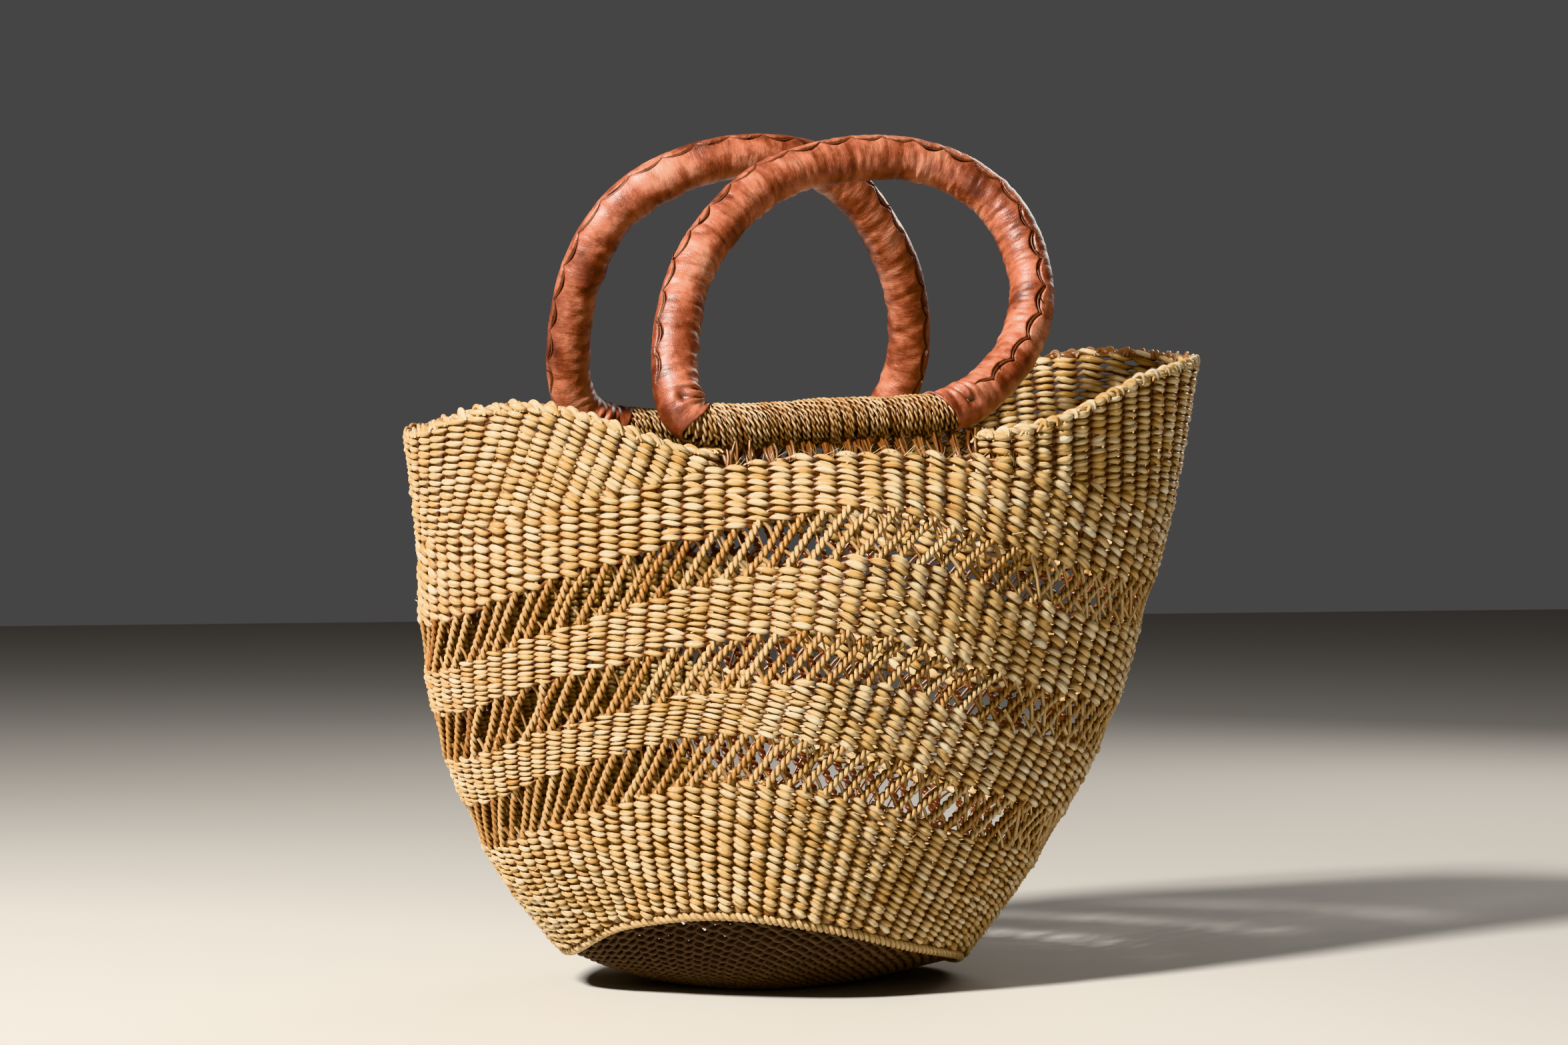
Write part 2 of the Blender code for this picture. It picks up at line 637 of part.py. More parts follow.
def main():
    clear_scene()
    wall = Wall(np.arange(COLUMNS) / COLUMNS)
    build_base(wall)
    build_wall(wall)
    build_wing("right", wall)
    build_wing("left", wall)
    build_rim(wall)
    for side in ("front", "rear"):
        build_tails(side)
        build_handle(side)
    place_on_origin()


main()
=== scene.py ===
"""Woven market basket: the visible model, built strand by strand over the CAD frame.

Units are metres, +Z is up, +X runs along the long side of the mouth and -Y is the front.
A turn is a share of the way round, 0 at the front centre and 0.25 at the right end, and a
length is measured up the wall from the edge of the base.
"""

import math
from collections import namedtuple

import bpy
import numpy as np
from mathutils import Matrix, Vector


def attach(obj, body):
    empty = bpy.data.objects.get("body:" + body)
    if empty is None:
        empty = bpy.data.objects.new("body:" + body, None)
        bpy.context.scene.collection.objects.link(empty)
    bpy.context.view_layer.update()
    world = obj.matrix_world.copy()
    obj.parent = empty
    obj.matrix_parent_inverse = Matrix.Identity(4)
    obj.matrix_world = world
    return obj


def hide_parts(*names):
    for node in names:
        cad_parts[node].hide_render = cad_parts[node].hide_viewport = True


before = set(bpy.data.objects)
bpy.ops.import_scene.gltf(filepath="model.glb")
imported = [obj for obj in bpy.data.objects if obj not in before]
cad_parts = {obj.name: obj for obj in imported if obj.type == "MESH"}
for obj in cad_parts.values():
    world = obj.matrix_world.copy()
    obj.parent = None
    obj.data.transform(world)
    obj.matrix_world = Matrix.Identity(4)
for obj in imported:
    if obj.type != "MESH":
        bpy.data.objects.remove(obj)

CM = 0.01
FULL_TURN = 2 * math.pi
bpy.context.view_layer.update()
rng = np.random.default_rng(11)

# ---- shape of the basket, as in the CAD ------------------------------------------------
CENTRE_SHIFT = np.array([-0.0169, -0.0008, 0.0])
PINCH_CENTRE = -1.0 * CM
PINCH_WIDTH = 8.6 * CM
CREASE_WIDTH = 3.5 * CM
CREASE_SOFTNESS = 0.15

# Share of height, centre in x, half length left and right, half depth, squareness, pinch,
# crease place and crease depth, in centimetres.
LEVELS = {
    "base_edge": (0.00, -1.30, 10.6, 10.6, 9.4, 2.00, 0.00, -5.0, 0.3),
    "haunch": (0.13, -1.00, 13.6, 13.2, 10.5, 1.95, 0.00, -5.0, 0.5),
    "openwork_lower": (0.26, -0.55, 16.0, 15.2, 11.2, 1.85, 0.00, -4.6, 0.8),
    "openwork_middle": (0.42, 0.40, 18.7, 17.7, 11.3, 1.80, 0.00, -2.4, 1.0),
    "openwork_upper": (0.58, 0.85, 20.0, 19.6, 10.8, 1.85, 0.00, 0.6, 0.9),
    "shoulder": (0.74, 1.20, 20.6, 20.8, 10.3, 1.95, 0.12, 2.0, 0.4),
    "rim": (1.00, 1.40, 21.4, 22.0, 10.2, 2.15, 0.20, 2.0, 0.0),
}
# Height of each level in centimetres at twelve stations, from the front centre round by the
# right end, the back and the left end.
HEIGHTS = {
    "base_edge": (3.8, 2.5, 1.5, 0.7, 1.5, 2.6, 4.0, 4.4, 3.6, 2.0, 3.8, 4.5),
    "haunch": (7.8, 6.0, 4.9, 4.1, 4.9, 6.2, 8.0, 8.4, 7.2, 5.3, 7.4, 8.7),
    "openwork_lower": (11.6, 9.4, 8.0, 7.3, 8.0, 9.6, 11.8, 12.2, 10.6, 8.7, 10.8, 12.5),
    "openwork_middle": (17.3, 15.0, 13.5, 13.0, 13.6, 15.2, 17.3, 16.9, 15.1, 13.2, 15.2, 17.0),
    "openwork_upper": (23.5, 21.5, 19.9, 19.7, 20.2, 21.5, 23.3, 22.4, 20.1, 17.7, 19.9, 22.3),
    "shoulder": (27.4, 27.0, 25.4, 24.8, 25.4, 26.6, 27.4, 26.8, 24.6, 22.9, 24.5, 26.6),
    "rim": (28.1, 29.0, 32.0, 33.2, 33.6, 30.0, 28.1, 27.7, 29.4, 28.6, 29.9, 27.6),
}
BASE_CENTRE = np.array([-1.3 * CM, 0.0])
BASE_FLAT_SHARE = 0.40
BASE_RISE_POWER = 1.6
BASE_ROWS = 27

# ---- weave -----------------------------------------------------------------------------
COLUMNS = 100
COLUMN_SPREAD = 0.27
WIDEST_COLUMN_TURN = 0.15
TABLE_COLUMNS = 624
TABLE_STEP = 0.001
PROFILE_STEPS = 241
STRAND_SIDES = 6
CORD_SIDES = 5
TAIL_SIDES = 4
STITCH_SWING = 0.0020
STITCH_DEPTH = 0.0014
STITCH_SLANT = 0.40
# Where a row has its points, in columns from each stitch that lies outside.
STITCH_PLACES = (-0.46, -0.30, -0.10, 0.10, 0.30, 0.46, 0.72, 1.0, 1.28)
# How much single stitches differ: place and slant in rows, height off the wall in metres,
# size and tone as shares, and then the tone of whole rows.
STITCH_LIFT = 0.085
STITCH_BULGE = 0.00026
STITCH_SIZE = 0.11
STITCH_TILT = 0.30
STITCH_TONE = 0.075
ROW_TONE = 0.04
ROW_FADE = 0.6
ROW_RUN_ON = 0.8
RIM_DROP = 0.0014
STAKE_DEPTH = 0.0009
CORD_PLY = 0.00118
CORD_AXIS = 0.00112
CORD_LAY = 0.0076

# Bands from the base up: visual piece, CAD node, lower level and offset, upper level and
# offset, rows of stitches (0 in openwork), and columns that the stakes move to the right.
Band = namedtuple("Band", "piece node low low_offset high high_offset rows shift")
HALF = 0.0118
LOW, MIDDLE, HIGH = "openwork_lower", "openwork_middle", "openwork_upper"
BANDS = (
    Band("lower_weave", "lower_wall_band", "base_edge", 0.004, LOW, -HALF, 18, 0.5),
    Band("openwork_lower", "openwork_band_lower", LOW, -HALF, LOW, HALF, 0, 1.7),
    Band("second_weave", "second_wall_band", LOW, HALF, MIDDLE, -HALF, 9, 0.5),
    Band("openwork_middle", "openwork_band_middle", MIDDLE, -HALF, MIDDLE, HALF, 0, 1.7),
    Band("third_weave", "third_wall_band", MIDDLE, HALF, HIGH, -HALF, 9, 0.5),
    Band("openwork_upper", "openwork_band_upper", HIGH, -HALF, HIGH, HALF, 0, 1.7),
    Band("top_weave", "top_wall_band", HIGH, HALF, "shoulder", 0.0, 9, 0.3),
)
# Single legs beside the openwork cords: first and last share of the height, columns moved
# right at the left and at the right end of the basket, how far behind the wall, radius,
# how many cords have one, and how much thicker they are at the right end.
LEGS = (
    (0.34, -0.06, 0.30, 0.85, -0.0002, 0.00092, 0.95, 0.2),
    (1.05, 0.62, 0.22, 0.66, -0.0018, 0.00085, 0.70, 0.2),
    (0.98, 0.02, 0.35, 0.80, -0.0028, 0.00060, 0.45, 0.9),
)
WING_SPANS = {"right": (0.055, 0.445), "left": (0.565, 0.925)}
ROW_PITCH_WING = {"left": 0.0034, "right": 0.0041}
# Turns, and how many columns per metre of height the stakes lean there in a raised end.
WING_LEAN = {
    "right": ((0.05, -30.0), (0.19, -26.0), (0.25, 0.0), (0.31, 26.0), (0.46, 30.0)),
    "left": ((0.55, -40.0), (0.66, -34.0), (0.72, 0.0), (0.79, 52.0), (0.94, 58.0)),
}
MOST_WING_ROWS = 40
RIM_ROPE_POINTS = 520
RIM_LOOPS_PER_COLUMN = 1.06

# ---- handles ---------------------------------------------------------------------------
HANDLE_LEAN = math.radians(22.0)
BARS = {
    "front": {"centre": (-1.15 * CM, -7.9 * CM, 29.15 * CM), "tilt": math.radians(3.4), "side": -1},
    "rear": {"centre": (0.0, 7.9 * CM, 29.2 * CM), "tilt": 0.0, "side": 1},
}
# Centre line of each ring in centimetres from its bar's centre: right, and away from the bar.
LOOPS = {
    "front": (
        (-5.5, 0.0), (-6.25, 0.2), (-6.8, 0.75), (-7.0, 1.6), (-6.95, 2.7), (-6.75, 4.05),
        (-6.2, 6.1), (-5.2, 8.35), (-3.7, 10.4), (-1.3, 12.6), (1.4, 14.0), (4.3, 14.65),
        (7.0, 14.7), (8.9, 14.35), (10.8, 13.5), (12.5, 11.9), (13.35, 9.7), (13.45, 7.2),
        (12.95, 5.2), (11.7, 3.2), (10.15, 1.75), (8.6, 0.65), (7.0, 0.08), (6.0, 0.0),
    ),
    "rear": (
        (-5.9, 0.0), (-7.4, 0.2), (-8.9, 1.0), (-9.65, 2.4), (-9.95, 4.3), (-10.0, 6.0),
        (-9.85, 8.0), (-9.25, 10.15), (-8.3, 11.9), (-6.85, 13.35), (-4.85, 14.5),
        (-2.5, 15.25), (-0.1, 15.5), (2.2, 15.25), (4.1, 14.3), (5.5, 13.15), (6.95, 11.5),
        (8.25, 9.5), (9.15, 7.3), (9.55, 5.05), (9.45, 3.2), (8.8, 1.3), (7.4, 0.25), (5.9, 0.0),
    ),
}
LEATHER_RADIUS = 0.0116
LEATHER_SIDES = 88
LEATHER_STEP = 0.0011
# Share of the way round a ring, and where round the sleeve its seam runs there, in degrees.
SEAM_TURNS = {
    "front": (
        (0.0, 22), (0.15, 26), (0.35, 46), (0.5, 62), (0.62, 76), (0.78, 86), (0.9, 98), (1.0, 112),
    ),
    "rear": ((0.0, 15), (0.5, 16), (0.6, 26), (0.72, 48), (0.85, 60), (1.0, 62)),
}
SEAM_START = 0.026
# Folds near both cuts: distance from the cut, degrees round the sleeve, length, width in
# radians, and height.
TUCKS = (
    (0.0235, 112, 0.0022, 0.55, 0.0016), (0.0175, 122, 0.0024, 0.60, 0.0024),
    (0.0112, 118, 0.0018, 0.70, 0.0013), (0.0290, 96, 0.0040, 0.35, 0.0007),
)
PINCH = (0.0170, 0.0030, 78, 0.22)
CREASES = (0.0142, 0.0206)
BINDING_PITCH = 0.00245
BINDING_RADIUS = 0.0094
BINDING_TURN_POINTS = 64
CORE_STRANDS = 5
CORE_RADIUS = 0.0042


# ---- wall surface ----------------------------------------------------------------------
def catmull_rom(before, start, end, after, share):
    """Smooth value between start and end, shaped by the values on both sides."""
    slope = end - before
    bend = 2 * before - 5 * start + 4 * end - after
    turn = 3 * (start - end) + after - before
    return start + 0.5 * share * (slope + share * (bend + share * turn))


def periodic_value(values, turn):
    """Smooth value round a closed ring of even stations; turn is a share of the way round."""
    table = np.array(values, dtype=float)
    place = np.mod(turn, 1.0) * len(table)
    index = np.floor(place).astype(int)
    picks = [table[(index + step) % len(table)] for step in (-1, 0, 1, 2)]
    return catmull_rom(picks[0], picks[1], picks[2], picks[3], place - index)


def level_outline(level, angle):
    """Plan outline of one level: a squared oval, pinched at the handles, creased in front."""
    _, centre, left, right, depth, squareness, pinch, crease_at, crease = LEVELS[level]
    cosine = np.cos(angle)
    sine = np.sin(angle)
    power = 2.0 / squareness
    reach = np.where(cosine < 0, left, right) * CM
    x = centre * CM + reach * np.sign(cosine) * np.abs(cosine) ** power
    y = depth * CM * np.sign(sine) * np.abs(sine) ** power
    y = y * (1 - pinch * np.exp(-(((x - PINCH_CENTRE) / PINCH_WIDTH) ** 4)))
    stand = np.where(sine < 0, crease_at * CM, 0.0)
    spread = np.sqrt(((x - stand) / CREASE_WIDTH) ** 2 + CREASE_SOFTNESS)
    fold = crease * CM * np.exp(math.sqrt(CREASE_SOFTNESS) - spread) * np.abs(sine)
    return x, y + np.sign(sine) * fold


def level_points(level, turn):
    """Points of one level at even shares of its plan length, turn 0 being the front centre."""
    angle = np.linspace(-math.pi / 2, 1.5 * math.pi, 2881)
    x, y = level_outline(level, angle)
    run = np.concatenate([[0.0], np.cumsum(np.hypot(np.diff(x), np.diff(y)))])
    share = np.mod(turn, 1.0)
    height = periodic_value(HEIGHTS[level], share) * CM
    across = np.interp(share, run / run[-1], x)
    deep = np.interp(share, run / run[-1], y)
    return np.stack([across, deep, height], axis=-1)


def wall_surface(turn, steps):
    """Middle surface of the wall: one smooth profile through all levels for every turn."""
    shares = np.array([LEVELS[level][0] for level in LEVELS])
    rings = np.stack([level_points(level, turn) for level in LEVELS])
    slopes = np.empty_like(rings)
    slopes[0] = (rings[1] - rings[0]) / (shares[1] - shares[0])
    slopes[-1] = (rings[-1] - rings[-2]) / (shares[-1] - shares[-2])
    spans = (shares[2:] - shares[:-2])[:, None, None]
    slopes[1:-1] = (rings[2:] - rings[:-2]) / spans
    profile = []
    for height in np.linspace(0.0, 1.0, steps):
        index = int(np.clip(np.searchsorted(shares, height) - 1, 0, len(shares) - 2))
        span = shares[index + 1] - shares[index]
        t = (height - shares[index]) / span
        point = (2 * t**3 - 3 * t**2 + 1) * rings[index]
        point = point + (t**3 - 2 * t**2 + t) * span * slopes[index]
        point = point + (3 * t**2 - 2 * t**3) * rings[index + 1]
        point = point + (t**3 - t**2) * span * slopes[index + 1]
        profile.append(point)
    return np.stack(profile)


def table_place(turn):
    """Columns of the wall table on both sides of a turn, and the share between them."""
    place = np.mod(turn, 1.0) * TABLE_COLUMNS
    low = np.floor(place).astype(int) % TABLE_COLUMNS
    return low, (low + 1) % TABLE_COLUMNS, place - np.floor(place)


class Wall:
    """The wall resampled on an even grid of turn and length up the wall."""

    def __init__(self):
        points = wall_surface(np.arange(TABLE_COLUMNS) / TABLE_COLUMNS, PROFILE_STEPS)
        lengths = np.linalg.norm(np.diff(points, axis=0), axis=-1)
        run = np.concatenate([np.zeros((1, TABLE_COLUMNS)), np.cumsum(lengths, axis=0)])
        self.level = {}
        for name in LEVELS:
            place = LEVELS[name][0] * (PROFILE_STEPS - 1)
            low = int(place)
            high = min(low + 1, PROFILE_STEPS - 1)
            self.level[name] = run[low] + (run[high] - run[low]) * (place - low)
        grid = np.arange(int(run.max() / TABLE_STEP) + 8) * TABLE_STEP
        table = np.empty((len(grid), TABLE_COLUMNS, 3))
        for column in range(TABLE_COLUMNS):
            for axis in range(3):
                table[:, column, axis] = np.interp(grid, run[:, column], points[:, column, axis])
            # Past the rim the table goes straight on.
            rise = unit(points[-1, column] - points[-3, column])
            past = grid > run[-1, column]
            extra = (grid[past] - run[-1, column])[:, None]
            table[past, column] = points[-1, column] + extra * rise
        around = np.roll(table, -1, axis=1) - np.roll(table, 1, axis=1)
        self.normal = unit(np.cross(around, np.gradient(table, axis=0)))
        self.table = table + CENTRE_SHIFT

    def level_length(self, name, turn):
        """Length up the wall at which a level is crossed."""
        low, high, part = table_place(turn)
        values = self.level[name]
        return values[low] * (1 - part) + values[high] * part

    def sample(self, table, turn, length):
        """Value of a table between its grid points."""
        low, high, part = table_place(turn)
        part = part[..., None]
        rise = np.clip(length / TABLE_STEP, 0, table.shape[0] - 1.001)
        row = np.floor(rise).astype(int)
        lift = (rise - row)[..., None]
        lower = table[row, low] * (1 - part) + table[row, high] * part
        upper = table[row + 1, low] * (1 - part) + table[row + 1, high] * part
        return lower * (1 - lift) + upper * lift

    def at(self, turn, length, outward=0.0):
        """Points at turns and lengths up the wall, moved outward by a distance."""
        outward = np.broadcast_to(np.asarray(outward, dtype=float), np.shape(turn))
        spot = self.sample(self.table, turn, length)
        return spot + self.sample(self.normal, turn, length) * outward[..., None]

    def outward(self, turn, length):
        """Direction straight out of the wall."""
        return self.sample(self.normal, turn, length)


# ---- mesh building ---------------------------------------------------------------------
def unit(vectors):
    """The same directions with length 1."""
    return vectors / np.maximum(np.linalg.norm(vectors, axis=-1, keepdims=True), 1e-12)


wall = Wall()


def run_along(paths):
    """Distance from the start of each path to each of its points."""
    step = np.linalg.norm(np.diff(paths, axis=1), axis=-1)
    return np.concatenate([np.zeros((len(paths), 1)), np.cumsum(step, axis=1)], axis=1)


def frames_along(centres, hint, closed=False):
    """Two cross directions for every point of every strand, the first kept near the hint."""
    if closed:
        tangent = np.roll(centres, -1, axis=1) - np.roll(centres, 1, axis=1)
    else:
        tangent = np.gradient(centres, axis=1)
    tangent = unit(tangent)
    first = unit(hint - tangent * np.sum(hint * tangent, axis=-1, keepdims=True))
    return first, np.cross(tangent, first)


def strands(centres, hint, radius, tone, depth, closed=False, seen=1.0):
    """A group of strands for strand_mesh.

    centres and hint are (strands, points, 3). radius is one value, or a pair along the hint
    and across it. tone and depth hold for each strand or point; depth is low in recesses and
    sets how much painted shade the material puts there.
    seen is 1 where the side along the hint is seen and -1 where the other side is.
    """
    pair = radius if isinstance(radius, tuple) else (radius, radius)
    return {
        "centres": centres, "hint": hint, "radius": pair, "tone": tone, "depth": depth,
        "closed": closed, "seen": seen,
    }


def wall_strands(turn, length, outward, radius, tone, depth):
    """A group of open strands that lie on the wall."""
    return strands(wall.at(turn, length, outward), wall.outward(turn, length), radius, tone, depth)


def tube_points(group, angle):
    """Rings of points round the centres of a group."""
    centres = group["centres"]
    first, second = frames_along(centres, group["hint"], group["closed"])
    radii = [np.broadcast_to(r, centres.shape[:2])[..., None, None] for r in group["radius"]]
    ring = radii[0] * np.cos(angle)[:, None] * first[:, :, None, :]
    ring = ring + radii[1] * np.sin(angle)[:, None] * second[:, :, None, :]
    return centres[:, :, None, :] + ring


def tube_quads(count, points, sides, closed):
    """Faces of a number of tubes, each with a number of rings of points."""
    links = np.arange(points if closed else points - 1)
    tube, ring, side = np.meshgrid(np.arange(count), links, np.arange(sides), indexing="ij")
    here = (tube * points + ring) * sides
    following = (tube * points + (ring + 1) % points) * sides
    beside = (side + 1) % sides
    corners = [here + side, following + side, following + beside, here + beside]
    return np.stack(corners, axis=-1).reshape(-1, 4)


def set_all(target, field, values, kind=np.float32):
    """Set one field of every element of a mesh layer."""
    target.foreach_set(field, np.ascontiguousarray(values, dtype=kind).reshape(-1))


def new_item(name, points, quads, **attributes):
    """Object with a smooth mesh of quads; each attribute has a value or vector per point."""
    mesh = bpy.data.meshes.new(name)
    mesh.vertices.add(len(points))
    set_all(mesh.vertices, "co", points)
    mesh.loops.add(len(quads) * 4)
    set_all(mesh.loops, "vertex_index", quads, np.int32)
    mesh.polygons.add(len(quads))
    set_all(mesh.polygons, "loop_start", np.arange(len(quads)) * 4, np.int32)
    set_all(mesh.polygons, "use_smooth", np.ones(len(quads)), bool)
    mesh.update(calc_edges=True)
    mesh.validate()
    for title, values in attributes.items():
        kind, field = ("FLOAT", "value") if values.ndim == 1 else ("FLOAT_VECTOR", "vector")
        set_all(mesh.attributes.new(title, kind, "POINT").data, field, values)
    item = bpy.data.objects.new(name, mesh)
    bpy.context.collection.objects.link(item)
    return item


def strand_mesh(name, groups, sides=STRAND_SIDES):
    """One object from groups of strands, with tone, depth and fibre coordinates."""
    parts = {"points": [], "quads": [], "tone": [], "depth": [], "fibre": []}
    start = 0
    angle = FULL_TURN * np.arange(sides) / sides
    for group in groups:
        shape = group["centres"].shape[:2]
        tone, depth, seen = (
            np.broadcast_to(group[key], shape)[..., None] for key in ("tone", "depth", "seen")
        )
        # Painted shade: the side of each strand turned away from where it is seen gets a lower depth,
        # so the material darkens it.
        facing = np.clip(0.56 + 0.54 * np.cos(angle) * seen, 0.10, 1.0)
        offset = rng.uniform(0.0, 3.0, (shape[0], 1))[..., None]
        run = run_along(group["centres"])[..., None] + offset
        fibre = np.broadcast_arrays(run, 0.5 * np.cos(angle) + offset, 0.5 * np.sin(angle))
        parts["points"].append(tube_points(group, angle).reshape(-1, 3))
        parts["quads"].append(start + tube_quads(*shape, sides, group["closed"]))
        parts["tone"].append(np.repeat(tone.reshape(-1), sides))
        parts["depth"].append((depth * facing).reshape(-1))
        parts["fibre"].append(np.stack(fibre, axis=-1).reshape(-1, 3))
        start += shape[0] * shape[1] * sides
    return new_item(name, **{key: np.concatenate(values) for key, values in parts.items()})


def finish_piece(item, body, material, slot, *nodes):
    """Give a piece its material and body and hide the CAD nodes that it stands for; slot is not used.
    """
    item.data.materials.append(material)
    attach(item, body)
    if nodes:
        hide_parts(*nodes)


# ---- materials -------------------------------------------------------------------------
WHITE = (1.0, 1.0, 1.0)


class Look:
    """A material, with short ways to add nodes in front of its Principled shader."""

    def __init__(self, name):
        self.material = bpy.data.materials.new(name)
        self.material.use_nodes = True
        self.tree = self.material.node_tree
        self.shader = self.tree.nodes["Principled BSDF"]

    def plug(self, socket, value):
        """Link an output to a socket, or set the socket to a number or a colour."""
        if isinstance(value, bpy.types.NodeSocket):
            self.tree.links.new(value, socket)
        else:
            socket.default_value = (*value, 1.0) if isinstance(value, tuple) else value

    def shade(self, **values):
        """Set or link shader sockets, named with _ for each space."""
        for name, value in values.items():
            self.plug(self.shader.inputs[name.replace("_", " ")], value)

    def attribute(self, name, output="Fac"):
        """Output of a mesh attribute."""
        node = self.tree.nodes.new("ShaderNodeAttribute")
        node.attribute_name = name
        return node.outputs[output]

    def noise(self, vector, scale, detail, roughness=0.5):
        """Noise from 0 to 1 over a vector that is first scaled on each axis."""
        mapping = self.tree.nodes.new("ShaderNodeMapping")
        mapping.inputs["Scale"].default_value = scale
        self.tree.links.new(vector, mapping.inputs["Vector"])
        node = self.tree.nodes.new("ShaderNodeTexNoise")
        self.plug(node.inputs["Vector"], mapping.outputs["Vector"])
        for name, value in (("Scale", 1.0), ("Detail", detail), ("Roughness", roughness)):
            self.plug(node.inputs[name], value)
        return node.outputs["Fac"]

    def ramp(self, value, *stops):
        """Colours from stops of a place and a colour."""
        node = self.tree.nodes.new("ShaderNodeValToRGB")
        elements = node.color_ramp.elements
        while len(elements) < len(stops):
            elements.new(0.5)
        for element, (place, colour) in zip(elements, stops):
            element.position = place
            element.color = (*colour, 1.0)
        self.tree.links.new(value, node.inputs["Fac"])
        return node.outputs["Color"]

    def mix(self, kind, factor, first, second):
        """Two colours mixed by a blend type."""
        node = self.tree.nodes.new("ShaderNodeMix")
        node.data_type = "RGBA"
        node.blend_type = kind
        self.plug(node.inputs["Factor"], factor)
        for socket, value in zip([s for s in node.inputs if s.type == "RGBA"], (first, second)):
            self.plug(socket, value)
        return [s for s in node.outputs if s.type == "RGBA"][0]

    def maths(self, kind, *values):
        """Result of one maths node."""
        node = self.tree.nodes.new("ShaderNodeMath")
        node.operation = kind
        for socket, value in zip(node.inputs, values):
            self.plug(socket, value)
        return node.outputs["Value"]

    def bump(self, height, strength, distance):
        """Fine relief on the whole material."""
        node = self.tree.nodes.new("ShaderNodeBump")
        for name, value in (("Strength", strength), ("Distance", distance), ("Height", height)):
            self.plug(node.inputs[name], value)
        self.shade(Normal=node.outputs["Normal"])


def straw_material(name, pale, warm, dark, shade_and_spots, roughness):
    """Dry grass: streaks along each strand, a tone per strand, dark spots, and painted shade, warmer
    and darker, in recesses and on the inward sides of strands.
    """
    look = Look(name)
    fibre = look.attribute("fibre", "Vector")
    streaks = look.noise(fibre, (45.0, 5.0, 5.0), 4.0)
    blotches = look.noise(fibre, (60.0, 1.5, 3.0), 2.0)
    shade = look.maths("MULTIPLY_ADD", streaks, 0.95, look.attribute("tone"))
    shade = look.maths("SUBTRACT", shade, 0.48)
    colour = look.ramp(shade, (0.08, dark), (0.42, warm), (0.76, pale))
    spots = look.ramp(blotches, (0.30, shade_and_spots), (0.42, WHITE))
    colour = look.mix("MULTIPLY", 0.35, colour, spots)
    # Painted shade: the colour is multiplied towards the shade colour where the depth attribute is
    # low.
    inward = look.maths("SUBTRACT", 1.0, look.attribute("depth"))
    look.shade(Base_Color=look.mix("MULTIPLY", inward, colour, shade_and_spots))
    look.shade(Roughness=roughness, Specular_IOR_Level=0.6, Sheen_Weight=0.08)
    look.bump(streaks, 0.5, 0.0004)
    return look.material


def leather_material():
    """Oiled terracotta leather with dark blotches, fine grain, cross wrinkles and near-black painted
    shade in its seam groove, creases and lips.
    """
    look = Look("terracotta_leather")
    skin = look.attribute("fibre", "Vector")
    patches = look.noise(skin, (34.0, 34.0, 34.0), 5.0, 0.62)
    streaks = look.noise(skin, (210.0, 60.0, 60.0), 4.0, 0.6)
    grain = look.noise(skin, (1500.0, 1500.0, 1500.0), 3.0)
    colour = look.ramp(
        patches, (0.34, (0.11, 0.028, 0.015)), (0.45, (0.27, 0.080, 0.044)),
        (0.55, (0.44, 0.158, 0.094)), (0.70, (0.60, 0.300, 0.205)),
    )
    lines = look.ramp(streaks, (0.36, (0.40, 0.27, 0.23)), (0.54, WHITE))
    colour = look.mix("MULTIPLY", 0.7, colour, lines)
    # Painted shade: the colour is mixed towards near black where the depth attribute is low.
    cut = look.maths("SUBTRACT", 1.0, look.attribute("depth"))
    look.shade(Base_Color=look.mix("MIX", cut, colour, (0.035, 0.012, 0.008)))
    look.shade(Roughness=look.ramp(patches, (0.3, (0.46, 0.46, 0.46)), (0.7, (0.32, 0.32, 0.32))))
    look.shade(Specular_IOR_Level=0.5, Coat_Weight=0.15, Coat_Roughness=0.30)
    look.bump(look.maths("MULTIPLY_ADD", grain, 0.22, streaks), 0.7, 0.0012)
    return look.material


def lace_material():
    """Dark oiled lace, a flat strip of the same hide."""
    look = Look("lacing_leather")
    shade = look.noise(look.attribute("fibre", "Vector"), (160.0, 4.0, 4.0), 3.0)
    colour = look.ramp(shade, (0.35, (0.045, 0.016, 0.010)), (0.65, (0.17, 0.065, 0.038)))
    look.shade(Base_Color=colour, Roughness=0.45)
    return look.material


# Pale, warm and dark straw, the colour of the painted shade in its recesses, which also tints its
# spots, and roughness.
STRAW = straw_material(
    "golden_straw", (0.97, 0.87, 0.62), (0.70, 0.46, 0.18), (0.40, 0.165, 0.035),
    (0.15, 0.030, 0.003), 0.31,
)
# The same straw drawn darker and warmer: painted shade for the openwork cords, also used for the base
# edge rope and the stake ends.
CORD_STRAW = straw_material(
    "twisted_straw_painted_shade", (0.82, 0.64, 0.35), (0.50, 0.28, 0.095), (0.26, 0.09, 0.02),
    (0.15, 0.030, 0.003), 0.33,
)
BINDING_STRAW = straw_material(
    "binding_straw", (0.82, 0.67, 0.42), (0.44, 0.245, 0.09), (0.20, 0.07, 0.015),
    (0.13, 0.026, 0.003), 0.32,
)
BASE_STRAW = straw_material(
    "base_straw", (0.11, 0.062, 0.028), (0.07, 0.038, 0.016), (0.035, 0.018, 0.007),
    (0.35, 0.18, 0.08), 0.6,
)
LEATHER = leather_material()
LACE = lace_material()


# ---- twined weave ----------------------------------------------------------------------
def stake_shift(number, part):
    """How many columns the stakes have moved to the right at a share of one band."""
    return sum(band.shift for band in BANDS[:number]) + BANDS[number].shift * part


TOP_SHIFT = stake_shift(len(BANDS) - 1, 1.0)


def stake_turn(column):
    """Turn of a stake. They stand widest apart at the right of the front."""
    share = column / COLUMNS
    return share + COLUMN_SPREAD / FULL_TURN * np.sin(FULL_TURN * (share - WIDEST_COLUMN_TURN))


